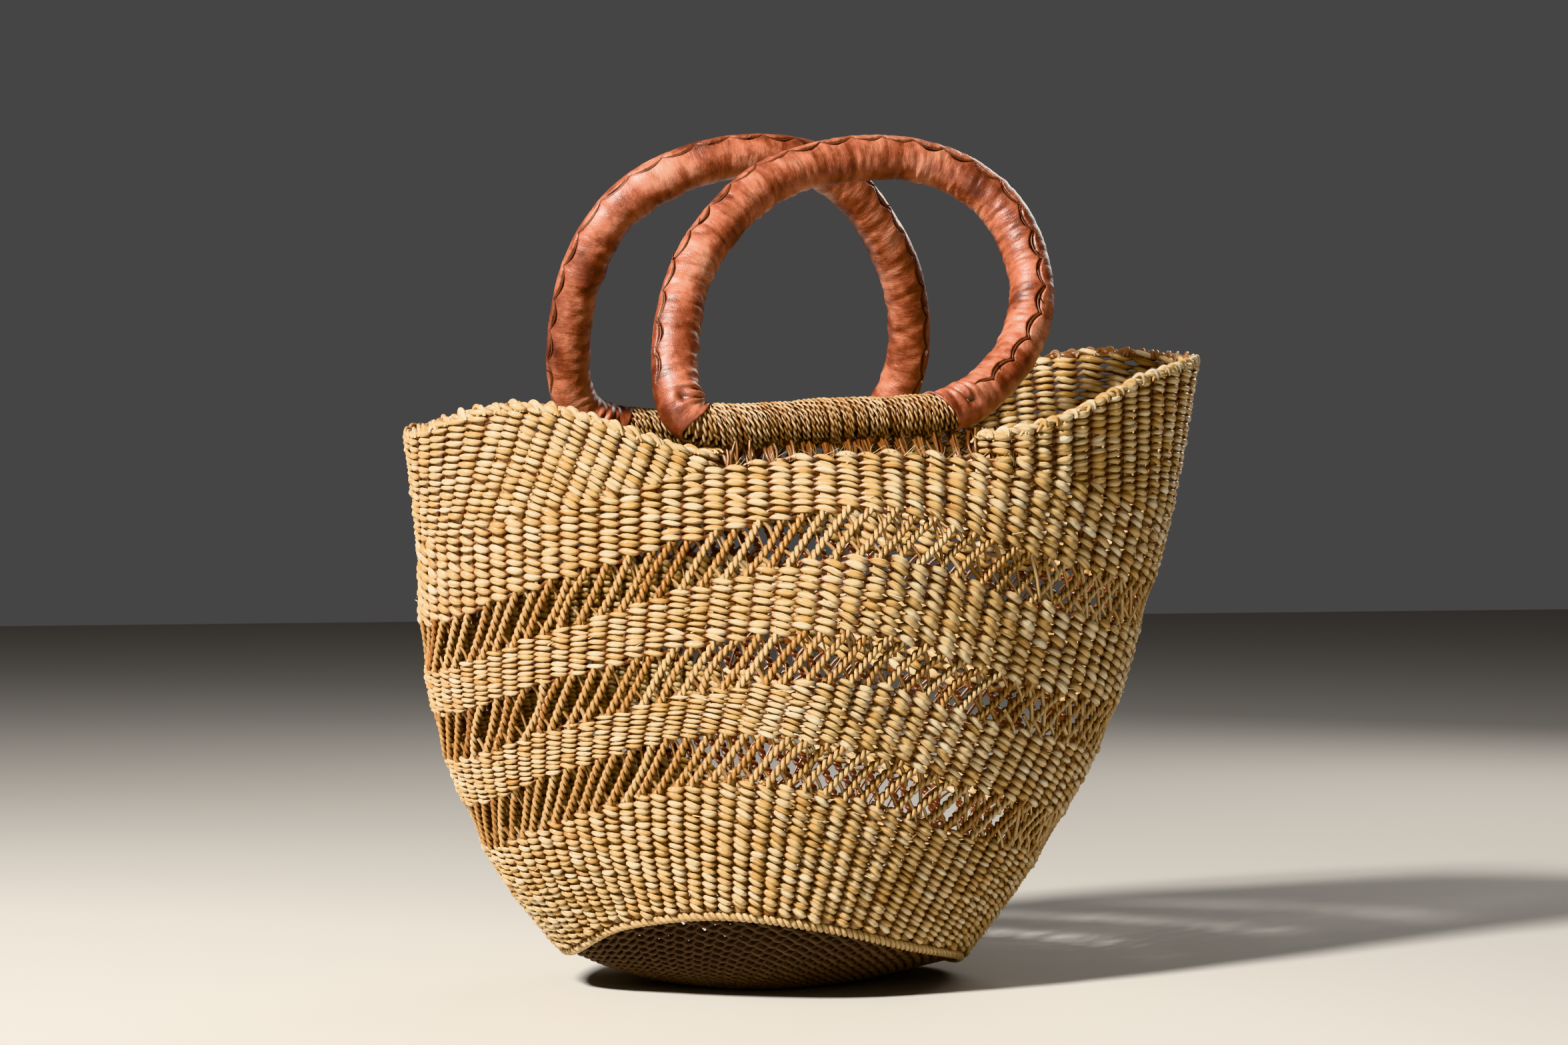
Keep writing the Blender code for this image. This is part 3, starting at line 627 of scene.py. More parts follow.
def right_share(turn):
    """0 at the left end of the basket, 1 at the right end."""
    return 0.5 + 0.5 * np.sin(FULL_TURN * (turn + 0.04))


def band_edges(number, turn):
    """Lengths up the wall where a band starts and ends."""
    band = BANDS[number]
    low = wall.level_length(band.low, turn) + band.low_offset
    return low, wall.level_length(band.high, turn) + band.high_offset


def band_length(number, turn, part):
    """Length up the wall at a share of the height of a band."""
    low, high = band_edges(number, turn)
    return low + (high - low) * part


def each_column(spread):
    """Numbers of all columns as a column vector, each moved a little at random."""
    return np.arange(COLUMNS)[:, None] + rng.normal(0.0, spread, (COLUMNS, 1))


def row_places(first, last, strand, closed):
    """Places along a row: close together over each outside stitch, fewer behind a stake."""
    start = 2 * math.ceil(first / 2) + strand
    centres = np.arange(start if closed else start - 2, last + (0 if closed else 2), 2)
    places = (centres[:, None] + np.array(STITCH_PLACES)).reshape(-1)
    return places if closed else places[(places >= first) & (places <= last)]


def in_and_out(place, strand):
    """Phase of a strand along its row, 1 outside to -1 inside the stakes, and its swing."""
    phase = math.pi * (place - strand)
    outside = np.cos(phase)
    return phase, outside, np.sign(outside) * np.abs(outside) ** 0.7


def twined_rows(count, place_of, span, slant):
    """Two strands per row that pass in turn outside and inside the stakes.

    place_of takes (rows, points) arrays of row number and column, and gives turn, length up
    the wall and row pitch. The ends of an open row sink behind the weave and thin out.
    """
    groups = []
    first, last, closed = span
    for strand in (0, 1):
        column = row_places(first, last, strand, closed)
        rows = np.arange(count)[:, None] + np.zeros((1, len(column)))
        place = np.broadcast_to(column, rows.shape)
        phase, outside, swing = in_and_out(place, strand)
        full = 1.0
        if not closed:
            full = np.clip(np.minimum(place - first, last - place) / ROW_FADE, 0.0, 1.0)
            swing = swing * full - 1.2 * (1 - full)
        pick = (rows.astype(int), np.round(place).astype(int) % COLUMNS)
        lift, bulge, size, tilt, tone = (
            rng.normal(0.0, spread, (count, COLUMNS))[pick]
            for spread in (STITCH_LIFT, STITCH_BULGE, STITCH_SIZE, STITCH_TILT, STITCH_TONE)
        )
        tone = 0.5 + tone + rng.normal(0.0, ROW_TONE, (count, 1))
        size = (1 + size) * (0.4 + 0.6 * full)
        tilt = np.broadcast_to(slant, COLUMNS)[pick[1]] * (1 + tilt)
        turn, length, pitch = place_of(rows, place)
        length = length + (0.5 * strand - 0.25 - tilt * np.sin(phase) + lift) * pitch
        lens = np.abs(outside) ** 0.65
        radius = (STITCH_DEPTH * (0.50 + 0.50 * lens) * size, pitch * (0.16 + 0.33 * lens) * size)
        # Painted shade where a strand passes inside the stakes and where the end of a row sinks behind
        # the weave.
        depth = np.clip(-0.10 + 1.35 * np.abs(outside) * full, 0.0, 1.0)
        outward = STITCH_SWING * swing + bulge * (outside > 0)
        group = wall_strands(turn, length, outward, radius, tone, depth)
        groups.append({**group, "closed": closed, "seen": np.where(outside > -0.05, 1.0, -1.0)})
    return groups


def band_weave(number):
    """Closed rows of one band of the wall."""
    rows = BANDS[number].rows

    def place_of(row, column):
        share = (row + 0.5) / rows
        turn = stake_turn(column + stake_shift(number, share))
        low, high = band_edges(number, turn)
        return turn, low + (high - low) * share, (high - low) / rows

    middle = stake_turn(np.arange(COLUMNS) + stake_shift(number, 0.5))
    slant = STITCH_SLANT * (1 - 0.45 * right_share(middle) ** 2)
    return twined_rows(rows, place_of, (0, COLUMNS, True), slant)


def band_stakes(number):
    """Flat bunches of stakes that stand inside the weave and close its small gaps."""
    part = np.linspace(-0.02, 1.02, 7)[None, :]
    turn = stake_turn(each_column(0.05) + stake_shift(number, part))
    length = band_length(number, turn, part)
    tone = 0.40 + rng.normal(0, 0.08, (COLUMNS, 1))
    # Painted shade: stakes inside the weave get a low depth.
    return wall_strands(turn, length, 0.0, (STAKE_DEPTH, 0.0033), tone, 0.40)


def loose_ends(number):
    """Short frayed fibres that stand off one band of the weave here and there."""
    local = np.random.default_rng(70 + number)
    size = (5 * BANDS[number].rows, 1)
    along = np.linspace(0, 1, 6)[None, :]
    turn = local.uniform(0, 1, size)
    length = band_length(number, turn, local.uniform(0.04, 0.96, size))
    length = length + local.normal(0, 0.0012, size) * along
    reach = local.uniform(0.0006, 0.0034, size)
    drift = local.uniform(0.20, 0.60, size) * np.sign(local.uniform(-0.4, 1, size))
    turn = turn + drift * along / COLUMNS
    radius = local.uniform(0.0002, 0.0006, size) * (1 - 0.75 * along)
    outward = 0.0022 + reach * along**1.4
    return wall_strands(turn, length, outward, radius, local.normal(0.62, 0.12, size), 0.9)


def openwork_cords(number):
    """Leaning two-ply cords with a gap between them."""
    part = np.linspace(-0.06, 1.06, 42)[None, :] + np.zeros((COLUMNS, 1))
    column = each_column(0.08)
    sway = rng.normal(0.0, 0.13, (COLUMNS, 1)) * np.sin(math.pi * part)
    turn = stake_turn(column + stake_shift(number, part) + sway)
    length = band_length(number, turn, part)
    dip = -0.0008 * np.sin(math.pi * np.clip(part, 0, 1))
    outward = 0.0006 + rng.normal(0, 0.0004, (COLUMNS, 1)) + dip
    # Painted light and shade: cords are drawn paler towards the right end and darker towards the left
    # end, where they lie in shade.
    painted_side_light = 0.20 * (right_share(column / COLUMNS) - 0.5)
    tone = 0.46 + painted_side_light + rng.normal(0, 0.10, (COLUMNS, 1))
    axis = wall.at(turn, length, outward)
    hint = wall.outward(turn, length)
    first, second = frames_along(axis, hint)
    start = rng.uniform(0, FULL_TURN, (COLUMNS, 1))
    groups = []
    for ply in (0, 1):
        angle = -FULL_TURN * run_along(axis) / CORD_LAY + start + math.pi * ply
        aside = np.sin(angle)[..., None] * second + np.cos(angle)[..., None] * first
        # Painted shade on the side of each ply that turns in towards the other.
        depth = 0.52 + 0.48 * np.cos(angle)
        groups.append(strands(axis + CORD_AXIS * aside, hint, CORD_PLY, tone + 0.06 * ply, depth))
    return groups


def openwork_legs(number):
    """Single stakes that part from each cord and slope the other way, down to the right."""
    groups = []
    along = np.linspace(0, 1, 9)[None, :]
    for first, last, slide_left, slide_right, inside, radius, chance, growth in LEGS:
        column = each_column(0.09)
        part = first + (last - first) * along + rng.normal(0.0, 0.03, (COLUMNS, 1))
        start = column + stake_shift(number, first)
        side = right_share(stake_turn(start))
        slide = slide_left + (slide_right - slide_left) * side + rng.normal(0, 0.08, (COLUMNS, 1))
        turn = stake_turn(start + slide * along**1.15 + 0.12 * np.sin(math.pi * along))
        bold = side**2
        outward = (inside * (1 - bold) + 0.0009 * bold) * np.sin(0.5 * math.pi * along)
        outward = outward + rng.normal(0, 0.0003, (COLUMNS, 1))
        keep = rng.uniform(0, 1, COLUMNS) < chance + 0.5 * growth * bold[:, 0]
        bold = bold[keep]
        # Painted light and shade: legs are drawn darker and more shaded towards the left end, where
        # they lie behind the wall, and paler at the right end.
        tone = 0.46 + 0.12 * bold + rng.normal(0, 0.10, bold.shape)
        size = radius * (1 + growth * bold) * (1 + rng.normal(0, 0.15, bold.shape))
        length = band_length(number, turn, part)[keep]
        depth = 0.55 + 0.40 * bold
        groups.append(wall_strands(turn[keep], length, outward[keep], size, tone, depth))
    return groups


def build_bands():
    """The closed bands and the openwork bands between them, from the base up."""
    for number, band in enumerate(BANDS):
        if band.rows:
            groups = band_weave(number) + [band_stakes(number), loose_ends(number)]
            item = strand_mesh(band.piece, groups, CORD_SIDES if number == 0 else STRAND_SIDES)
            finish_piece(item, "basket", STRAW, "straw", band.node)
        else:
            groups = openwork_cords(number) + openwork_legs(number)
            item = strand_mesh(band.piece, groups, CORD_SIDES)
            finish_piece(item, "basket", CORD_STRAW, "openwork_straw", band.node)


def wing_place(end, row, column):
    """Turn, length and pitch in a raised end, whose rows run along the rim.

    The stakes leave the shoulder at their own turn and lean towards the nearer handle.
    """
    turns, leans = zip(*WING_LEAN[end])
    start = stake_turn(column + TOP_SHIFT)
    lean = np.interp(start, turns, leans)
    pitch = ROW_PITCH_WING[end]

    def length_at(turn):
        return wall.level_length("rim", turn) - RIM_DROP - (row + 0.5) * pitch

    turn = start
    for _ in range(5):
        above = np.clip(length_at(turn) - wall.level_length("shoulder", turn), 0, None)
        turn = start + lean * above / COLUMNS
    return turn, length_at(turn), pitch + 0 * turn


def wing_columns(end, before, after, step):
    """Columns of a raised end and some more on both sides."""
    first, last = (int(turn * COLUMNS - TOP_SHIFT) for turn in WING_SPANS[end])
    return np.arange(first - before, last + after, step)


def wing_rows(end):
    """Rows that build up one raised end, each dying out where it meets the shoulder."""
    first, last = WING_SPANS[end]
    column = wing_columns(end, 9, 9.5, 0.25)
    run_on = ROW_RUN_ON / COLUMNS
    groups = []
    for level in range(MOST_WING_ROWS):
        turn, length, _ = wing_place(end, level, column)
        above = length - wall.level_length("shoulder", turn)
        inside = (above > 0.0006) & (turn > first) & (turn < last)
        if inside.sum() < 12:
            break
        # Where a row stops at the shoulder and not beside a handle, its ends run on a little.
        before = ROW_RUN_ON * (turn[inside][0] > first + run_on)
        after = ROW_RUN_ON * (turn[inside][-1] < last - run_on)
        span = (float(column[inside].min()) - before, float(column[inside].max()) + after, False)

        def place_of(_, place, level=level):
            return wing_place(end, level + 0.02 * np.sin(0.6 * place + level), place)

        groups += twined_rows(1, place_of, span, STITCH_SLANT * 0.7)
    return groups


def wing_stakes(end):
    """Flat bunches of stakes inside one raised end."""
    first, last = WING_SPANS[end]
    column = wing_columns(end, 5, 6, 1)
    start = stake_turn(column + TOP_SHIFT)
    inside = (start > first + 0.01) & (start < last - 0.01)
    start = start[inside][:, None]
    height = wall.level_length("rim", start) - wall.level_length("shoulder", start)
    row = (height / ROW_PITCH_WING[end]) * np.linspace(1, 0, 8)[None, :] - 0.5
    turn, length, _ = wing_place(end, row, column[inside][:, None] + 0 * row)
    # Painted shade: stakes inside the weave get a low depth.
    return wall_strands(turn, length, 0.0, (STAKE_DEPTH, 0.0037), 0.40, 0.40)


def rim_rope(end):
    """Thin rope of two strands that closes the top row of a raised end."""
    turn = np.linspace(*WING_SPANS[end], RIM_ROPE_POINTS)[None, :]
    length = wall.level_length("rim", turn) - 0.0022
    axis = wall.at(turn, length)
    hint = wall.outward(turn, length)
    side, upward = frames_along(axis, hint)
    run = run_along(axis)
    count = np.arange(RIM_ROPE_POINTS)
    radius = 0.00125 * np.minimum(1, np.minimum(count, count[::-1]) / 6)[None, :] + 0.0002
    groups = []
    for ply in (0, 1):
        angle = FULL_TURN * run / 0.0115 + math.pi * ply + 0.5 * np.sin(run / 0.013)
        reach = 0.0012 + 0.0002 * np.sin(run / 0.007 + 2 * ply)
        centres = axis + (reach * np.cos(angle))[..., None] * side
        centres = centres + (reach * np.sin(angle))[..., None] * upward
        tone = 0.5 + 0.12 * np.sin(run / 0.02 + ply * 2)
        groups.append(strands(centres, hint, radius, tone, 0.7))
    return groups


def rim_loops(end):
    """Stake ends that come up inside, arch over the rim and tuck in to the right."""
    first, last = WING_SPANS[end]
    count = int((last - first) * COLUMNS * RIM_LOOPS_PER_COLUMN)
    size = (count, 1)
    groups = []
    along = np.linspace(0, 1, 11)[None, :]
    arch = np.sin(math.pi * along) ** 0.75
    for strand, height in enumerate((0.0054, 0.0044, 0.0034)):
        start = first + (last - first) * (np.arange(count)[:, None] + 0.25 * strand) / count
        start = start + rng.normal(0, 0.0010, size)
        wide = (0.0078 + rng.normal(0, 0.0010, size)) * (1 - 0.25 * (strand == 1))
        turn = start + wide * along
        rise = height + rng.normal(0, 0.0005, size)
        length = wall.level_length("rim", turn) - 0.0046 + rise * arch
        outward = -0.0026 + 0.0050 * along + 0.0006 * arch + rng.normal(0, 0.0002, size)
        if strand == 2:
            outward = 0.0026 - 0.0048 * along
        taper = np.minimum(1, 0.45 + 3 * np.minimum(along, 1 - along))
        taper = taper * (1 + rng.normal(0, 0.12, size))
        radius = (0.00105 * taper, 0.00125 * taper)
        tone = 0.54 + rng.normal(0, 0.12, size)
        groups.append(wall_strands(turn, length, outward, radius, tone, 0.85))
    return groups


def build_wings():
    """Both raised ends with their borders."""
    for end in ("left", "right"):
        item = strand_mesh("wing_weave_" + end, wing_rows(end) + [wing_stakes(end)])
        finish_piece(item, "basket", STRAW, "straw", "wing_" + end)
        item = strand_mesh("rim_rope_" + end, rim_rope(end) + rim_loops(end))
        finish_piece(item, "basket", STRAW, "straw", "rim_border_" + end)


# ---- base ------------------------------------------------------------------------------
def base_points(turn, share, lift):
    """Points on the hull-shaped base from its centre (0) to its edge (1)."""
    edge = wall.at(turn, np.zeros_like(turn)) - CENTRE_SHIFT
    rise = np.clip((share - BASE_FLAT_SHARE) / (1 - BASE_FLAT_SHARE), 0, None) ** BASE_RISE_POWER
    xy = BASE_CENTRE + (edge[..., :2] - BASE_CENTRE) * share[..., None]
    z = edge[..., 2] * rise + lift
    return np.concatenate([xy, z[..., None]], axis=-1) + CENTRE_SHIFT


def base_rows():
    """Rings of stitches from the middle of the base outward, with fewer columns inside."""
    groups = []
    for row in range(BASE_ROWS):
        share = (row + 0.6) / BASE_ROWS
        columns = COLUMNS if share > 0.5 else (COLUMNS // 2 if share > 0.22 else COLUMNS // 4)
        place = np.arange(columns * 4)[None, :] / 4
        pick = np.round(place[0]).astype(int) % columns
        for strand in (0, 1):
            phase, outside, swing = in_and_out(place, strand)
            wave = (0.5 * strand - 0.25 - 0.14 * np.sin(phase)) / BASE_ROWS
            turn = (place + 0.4 * row) / columns
            centres = base_points(turn, share + wave, 0.0024 - 0.0011 * swing)
            hint = np.broadcast_to([0.0, 0.0, -1.0], centres.shape)
            radius = (0.00115, 0.0012 + 0.0008 * np.abs(outside))
            tone = 0.5 + rng.normal(0, 0.09, (1, columns))[:, pick]
            # Painted shade where a strand passes inside.
            depth = np.clip(0.6 + 0.5 * outside, 0, 1)
            groups.append(strands(centres, hint, radius, tone, depth, closed=True))
    return groups


def base_edge():
    """Two-strand rope round the edge of the base."""
    points = 1040
    turn = np.arange(points)[None, :] / points
    axis = wall.at(turn, np.zeros_like(turn))
    hint = wall.outward(turn, np.zeros_like(turn))
    side, upward = frames_along(axis, hint, True)
    groups = []
    for ply in (0, 1):
        angle = (FULL_TURN * turn * 96 + math.pi * ply)[..., None]
        centres = axis + 0.0013 * (np.cos(angle) * side + np.sin(angle) * upward)
        groups.append(strands(centres, hint, 0.0014, 0.62, 0.8, closed=True))
    return groups


def build_base():
    """The woven bottom and the rope round its edge."""
    item = strand_mesh("base_weave", base_rows())
    finish_piece(item, "basket", BASE_STRAW, "base_straw", "base_panel")
    item = strand_mesh("base_edge_rope", base_edge())
    finish_piece(item, "basket", CORD_STRAW, "base_straw", "base_edge_cord")


# ---- handles ---------------------------------------------------------------------------
def hinge_matrix(side, lean):
    """Frame of a handle's bar, turned in by a lean about the bar."""
    bar = BARS[side]
    centre = Vector(bar["centre"]) + Vector(CENTRE_SHIFT)
    tilt = Matrix.Rotation(-bar["tilt"], 4, "Y")
    return Matrix.Translation(centre) @ tilt @ Matrix.Rotation(bar["side"] * lean, 4, "X")


def to_world(side, points, lean=HANDLE_LEAN):
    """Points of a bar's own frame in the world."""
    matrix = np.array(hinge_matrix(side, lean))
    return points @ matrix[:3, :3].T + matrix[:3, 3]


def placed(side, groups, lean=HANDLE_LEAN):
    """The same groups moved from a bar's own frame into the world."""
    for group in groups:
        hint = group["hint"]
        group["centres"] = to_world(side, group["centres"], lean)
        group["hint"] = to_world(side, hint, lean) - to_world(side, 0 * hint, lean)
    return groups


def in_plane(across, away):
    """Vectors of a ring's own plane as vectors of the bar's frame."""
    return np.stack([across, np.zeros_like(across), away], axis=-1)


class RingPath:
    """Centre line of a ring in its own plane, from the left end of the bar to the right end."""

    def __init__(self, side):
        control = [np.array(point) * CM for point in LOOPS[side]]
        control = [2 * control[0] - control[1]] + control + [2 * control[-1] - control[-2]]
        dense = []
        for index in range(1, len(control) - 2):
            for share in np.linspace(0.0, 1.0, 24, endpoint=False):
                dense.append(catmull_rom(*control[index - 1 : index + 3], share))
        self.path = np.array(dense + [control[-2]])
        self.run = run_along(self.path[None])[0]
        self.total = self.run[-1]
        self.tangent = unit(np.gradient(self.path, axis=0))
        self.tangent[[0, -1]] = (-1.0, 0.0)

    def at(self, places):
        """Centres and outward directions in the bar's frame."""
        x, z = (np.interp(places, self.run, self.path[:, axis]) for axis in (0, 1))
        way = [np.interp(places, self.run, self.tangent[:, axis]) for axis in (0, 1)]
        tangent = unit(np.stack(way, axis=-1))
        return in_plane(x, z), in_plane(-tangent[..., 1], tangent[..., 0])


def around_ring(outward, spin):
    """Direction out of a ring at an angle round its tube, 0 being away from its middle."""
    return np.cos(spin)[..., None] * outward - np.sin(spin)[..., None] * np.array([0.0, 1.0, 0.0])


def ring_strands(centres, radius, tone, depth, closed=False):
    """A group of strands in the bar's frame, each with its wide side facing front."""
    hint = np.broadcast_to([0.0, -1.0, 0.0], centres.shape)
    return strands(centres, hint, radius, tone, depth, closed)


def smooth_noise(grid_x, grid_y, waves, seed):
    """Sum of random waves, a cheap smooth noise between about -1 and 1."""
    local = np.random.default_rng(seed)
    total = np.zeros(np.broadcast(grid_x, grid_y).shape)
    for _ in range(14):
        wave_x = local.normal(0, waves[0])
        wave_y = int(round(local.normal(0, waves[1])))
        total = total + np.sin(wave_x * grid_x + wave_y * grid_y + local.uniform(0, 6.28))
    return total / 3.7


def away_from(angle, place):
    """Angle from a place, between minus and plus half a turn."""
    return np.angle(np.exp(1j * (angle - place)))


def soft_bump(run, place, long, spin, degrees, wide):
    """Bump of height 1 at a place along and round the sleeve."""
    off = away_from(spin, math.radians(degrees)) / wide
    return np.exp(-(((run - place) / long) ** 2) - off**2)


def seam_spin(side, way):
    """Where round the sleeve the seam runs at a share of the way round the ring."""
    shares, degrees = zip(*SEAM_TURNS[side])
    return np.radians(np.interp(way, shares, degrees))


def seam_line(run, seed):
    """Scalloped seam: how far it swings round the sleeve in radians, and its scallop 0 to 1."""
    scallop = np.abs(np.sin(math.pi * run / 0.0165 + 0.6 * np.sin(run / 0.05)))
    return 0.30 * (scallop**0.7 - 0.6) + 0.03 * np.sin(run / 0.011 + seed), scallop


def skin_rows(ring, way, spin):
    """Places along the ring of the rows of skin; both ends are cut at a slant.

    The slant is spread over the first and last tenth of the rows.
    """
    slant = 1 + np.cos(spin - 0.35)
    near = (0.0046 * slant + 0.0018) * np.clip(1 - way / 0.10, 0, 1) ** 1.5
    far = (0.0058 * slant + 0.0008) * np.clip(1 - (1 - way) / 0.10, 0, 1) ** 1.5
    return np.clip(ring.total * way + near - far, 0, ring.total)


def seam_relief(run, turn, from_cut, seed):
    """Groove of the seam from 0 to 1, and the height of the lips beside it."""
    line, scallop = seam_line(run, seed)
    away = away_from(turn, line)
    opened = np.clip((from_cut - SEAM_START) / 0.006, 0, 1)
    lens = np.clip(smooth_noise(run * 1000, 0 * turn, (0.13, 0.0), seed + 9), 0, 1)
    gap = (0.060 + 0.030 * scallop + 0.06 * lens * scallop) * opened + 1e-4
    upper = 0.0010 * np.exp(-np.clip(away, 0, None) / 0.35) * (away > 0)
    lower = 0.0005 * np.exp(np.clip(away, None, 0) / 0.4) * (away < 0)
    return np.exp(-((away / gap) ** 4)), (upper + lower) * opened


def skin_relief(run, turn, spin, seed):
    """Dents of the skin and its fine cross wrinkles, deepest inside the ring."""
    inner = 0.5 - 0.5 * np.cos(spin)
    under = 0.5 + 0.5 * np.cos(spin - math.radians(150))
    lumps, cross, fine, broad, patch = (
        smooth_noise(run * 1000, turn, waves, seed + more)
        for waves, more in (
            ((0.42, 2.0), 0), ((0.95, 0.8), 4), ((1.7, 3.0), 1), ((0.07, 1.0), 2), ((0.05, 0.8), 7),
        )
    )
    wrinkled = np.clip(0.4 + 0.7 * patch, 0, 1) * (0.35 + inner)
    dents = 0.00030 * lumps * (0.3 + under) + 0.00035 * broad
    return dents + 0.00013 * cross * wrinkled + 0.00005 * fine


def tuck_relief(from_cut, spin):
    """Height of the gathered folds near both cuts, and the painted shade in their creases and pinch.
    """
    relief = -0.0004 * np.clip(1 - from_cut / 0.018, 0, 1) ** 2
    for place, degrees, long, wide, rise in TUCKS:
        relief = relief + rise * soft_bump(from_cut, place, long, spin, degrees, wide)
    place, long, degrees, wide = PINCH
    pinch = soft_bump(from_cut, place, long, spin, degrees, wide)
    crease = np.zeros_like(spin)
    for place in CREASES:
        bend = place + 0.0018 * np.sin(spin * 1.6 + place * 900)
        crease = crease + soft_bump(from_cut, bend, 0.0009, spin, 112, 0.62)
    return relief - 0.0024 * pinch - 0.0007 * crease, 0.8 * pinch + 0.75 * crease


def leather_surface(side, seed):
    """Sleeve of one ring: dented skin, a scalloped seam that winds round it and tucked ends."""
    ring = RingPath(side)
    share = np.arange(LEATHER_SIDES) / LEATHER_SIDES
    angle = (FULL_TURN * share - 0.62 * np.sin(FULL_TURN * share))[None, :]
    way = np.linspace(0, 1, int(ring.total / LEATHER_STEP))[:, None]
    spin = seam_spin(side, way) + angle
    run = skin_rows(ring, way, spin)
    turn = np.broadcast_to(angle, run.shape)
    from_cut = ring.total * np.minimum(way, 1 - way) + 0 * run
    groove, lips = seam_relief(run, turn, from_cut, seed)
    tucks, crease_shade = tuck_relief(from_cut, spin)
    radius = LEATHER_RADIUS + skin_relief(run, turn, spin, seed) + lips + tucks - 0.0019 * groove
    centres, outward = ring.at(run)
    out = around_ring(outward, spin)
    # Painted shade in the seam groove, the creases and the pinch.
    dark = np.clip(1.1 * groove + crease_shade, 0, 1)
    skin = np.stack([run, 0.0132 * np.cos(turn) + seed, 0.0132 * np.sin(turn)], axis=-1)
    # The first and last row are lips that turn inward, and so are drawn a little smaller and get heavy
    # painted shade.
    rows = np.concatenate([[0], np.arange(len(way)), [-1]])
    radius = radius[rows]
    radius[[0, -1]] -= 0.0014
    dark = dark[rows]
    dark[[0, -1]] = 0.9
    return centres[rows] + radius[..., None] * out[rows], skin[rows], dark


def build_leather(side, seed):
    """Leather sleeve of one ring with its folded ends, as one skin."""
    points, skin, dark = leather_surface(side, seed)
    quads = tube_quads(1, len(points), LEATHER_SIDES, False)[:, [0, 3, 2, 1]]
    points = to_world(side, points.reshape(-1, 3))
    name = side + "_leather"
    # depth here is one minus the painted shade.
    item = new_item(name, points, quads, fibre=skin.reshape(-1, 3), depth=1 - dark.reshape(-1))
    nodes = [name + part for part in ("_sleeve", "_fold_left", "_fold_right")]
    finish_piece(item, side + "_handle", LEATHER, "leather", *nodes)


def build_lacing(side, seed):
    """Lace that lies in the seam, with a short free end at some of its turns."""
    ring = RingPath(side)
    run = np.arange(SEAM_START, ring.total - SEAM_START, 0.0009)
    line, scallop = seam_line(run, seed)
    centres, outward = ring.at(run)
    out = around_ring(outward, seam_spin(side, run / ring.total) + line)
    lift = LEATHER_RADIUS - 0.0004 + 0.0006 * (1 - scallop)
    path = centres + lift[:, None] * out
    groups = [ring_strands(path[None], (0.00050, 0.00055), 0.5, 1.0)]
    local = np.random.default_rng(seed)
    along = np.linspace(0, 1, 5)[:, None]
    for cusp in local.choice(len(run) - 20, 9, replace=False):
        free = path[cusp] + out[cusp] * (0.0008 + 0.0016 * along**1.5)
        free = free + unit(path[cusp + 2] - path[cusp]) * 0.0024 * along
        groups.append(ring_strands(free[None], 0.00035, 0.5, 1.0))
    item = strand_mesh(side + "_lacing", placed(side, groups), CORD_SIDES)
    finish_piece(item, side + "_handle", LACE, "lacing_leather", side + "_seam_lacing")


def build_core(side):
    """Grass rope inside the ring: strands laid round each other in a closed loop."""
    ring = RingPath(side)
    bar = np.linspace(ring.path[-1], ring.path[0], 42)[1:-1]
    loop = np.concatenate([ring.path[::6], bar])
    axis = in_plane(loop[:, 0], loop[:, 1])[None]
    first, second = frames_along(axis, np.broadcast_to([0.0, 1.0, 0.0], axis.shape), True)
    share = np.arange(len(loop)) / len(loop)
    groups = []
    for strand in range(CORE_STRANDS):
        angle = FULL_TURN * (strand / CORE_STRANDS + 9 * share)[:, None]
        centres = axis + CORE_RADIUS * (np.cos(angle) * first + np.sin(angle) * second)
        # Painted shade: the core strands get a low depth.
        groups.append(ring_strands(centres, 0.0031, 0.4, 0.6, True))
    item = strand_mesh(side + "_core", placed(side, groups))
    finish_piece(item, side + "_handle", BINDING_STRAW, "core_straw", side + "_handle_core")


def per_turn(turns, values):
    """Values of whole turns of a binding, read between them."""
    return np.interp(turns, np.arange(len(values)), values)


def two_ply(centres, hint, thick, tone):
    """Two plies wound round each other along one long path."""
    first, second = frames_along(centres, hint)
    run = run_along(centres)
    lay = 0.0090 * (1 + 0.12 * np.sin(run / 0.31))
    twist = -FULL_TURN * np.concatenate([[0.0], np.cumsum(np.diff(run[0]) / lay[0, 1:])])[None]
    radius = (0.00068 * thick[None], 0.00066 * thick[None])
    plies = []
    for ply in (0, 1):
        angle = twist + math.pi * ply
        offset = (0.00072 * np.cos(angle))[..., None] * first
        offset = offset + (0.00066 * np.sin(angle))[..., None] * second
        # Painted shade on the inward side of each ply, in the gaps between plies and turns.
        depth = np.clip(0.36 + 0.66 * np.cos(angle), 0.0, 1.0)
        plies.append(strands(centres + offset, hint, radius, tone[None] + 0.08 * (ply - 0.5), depth))
    return plies


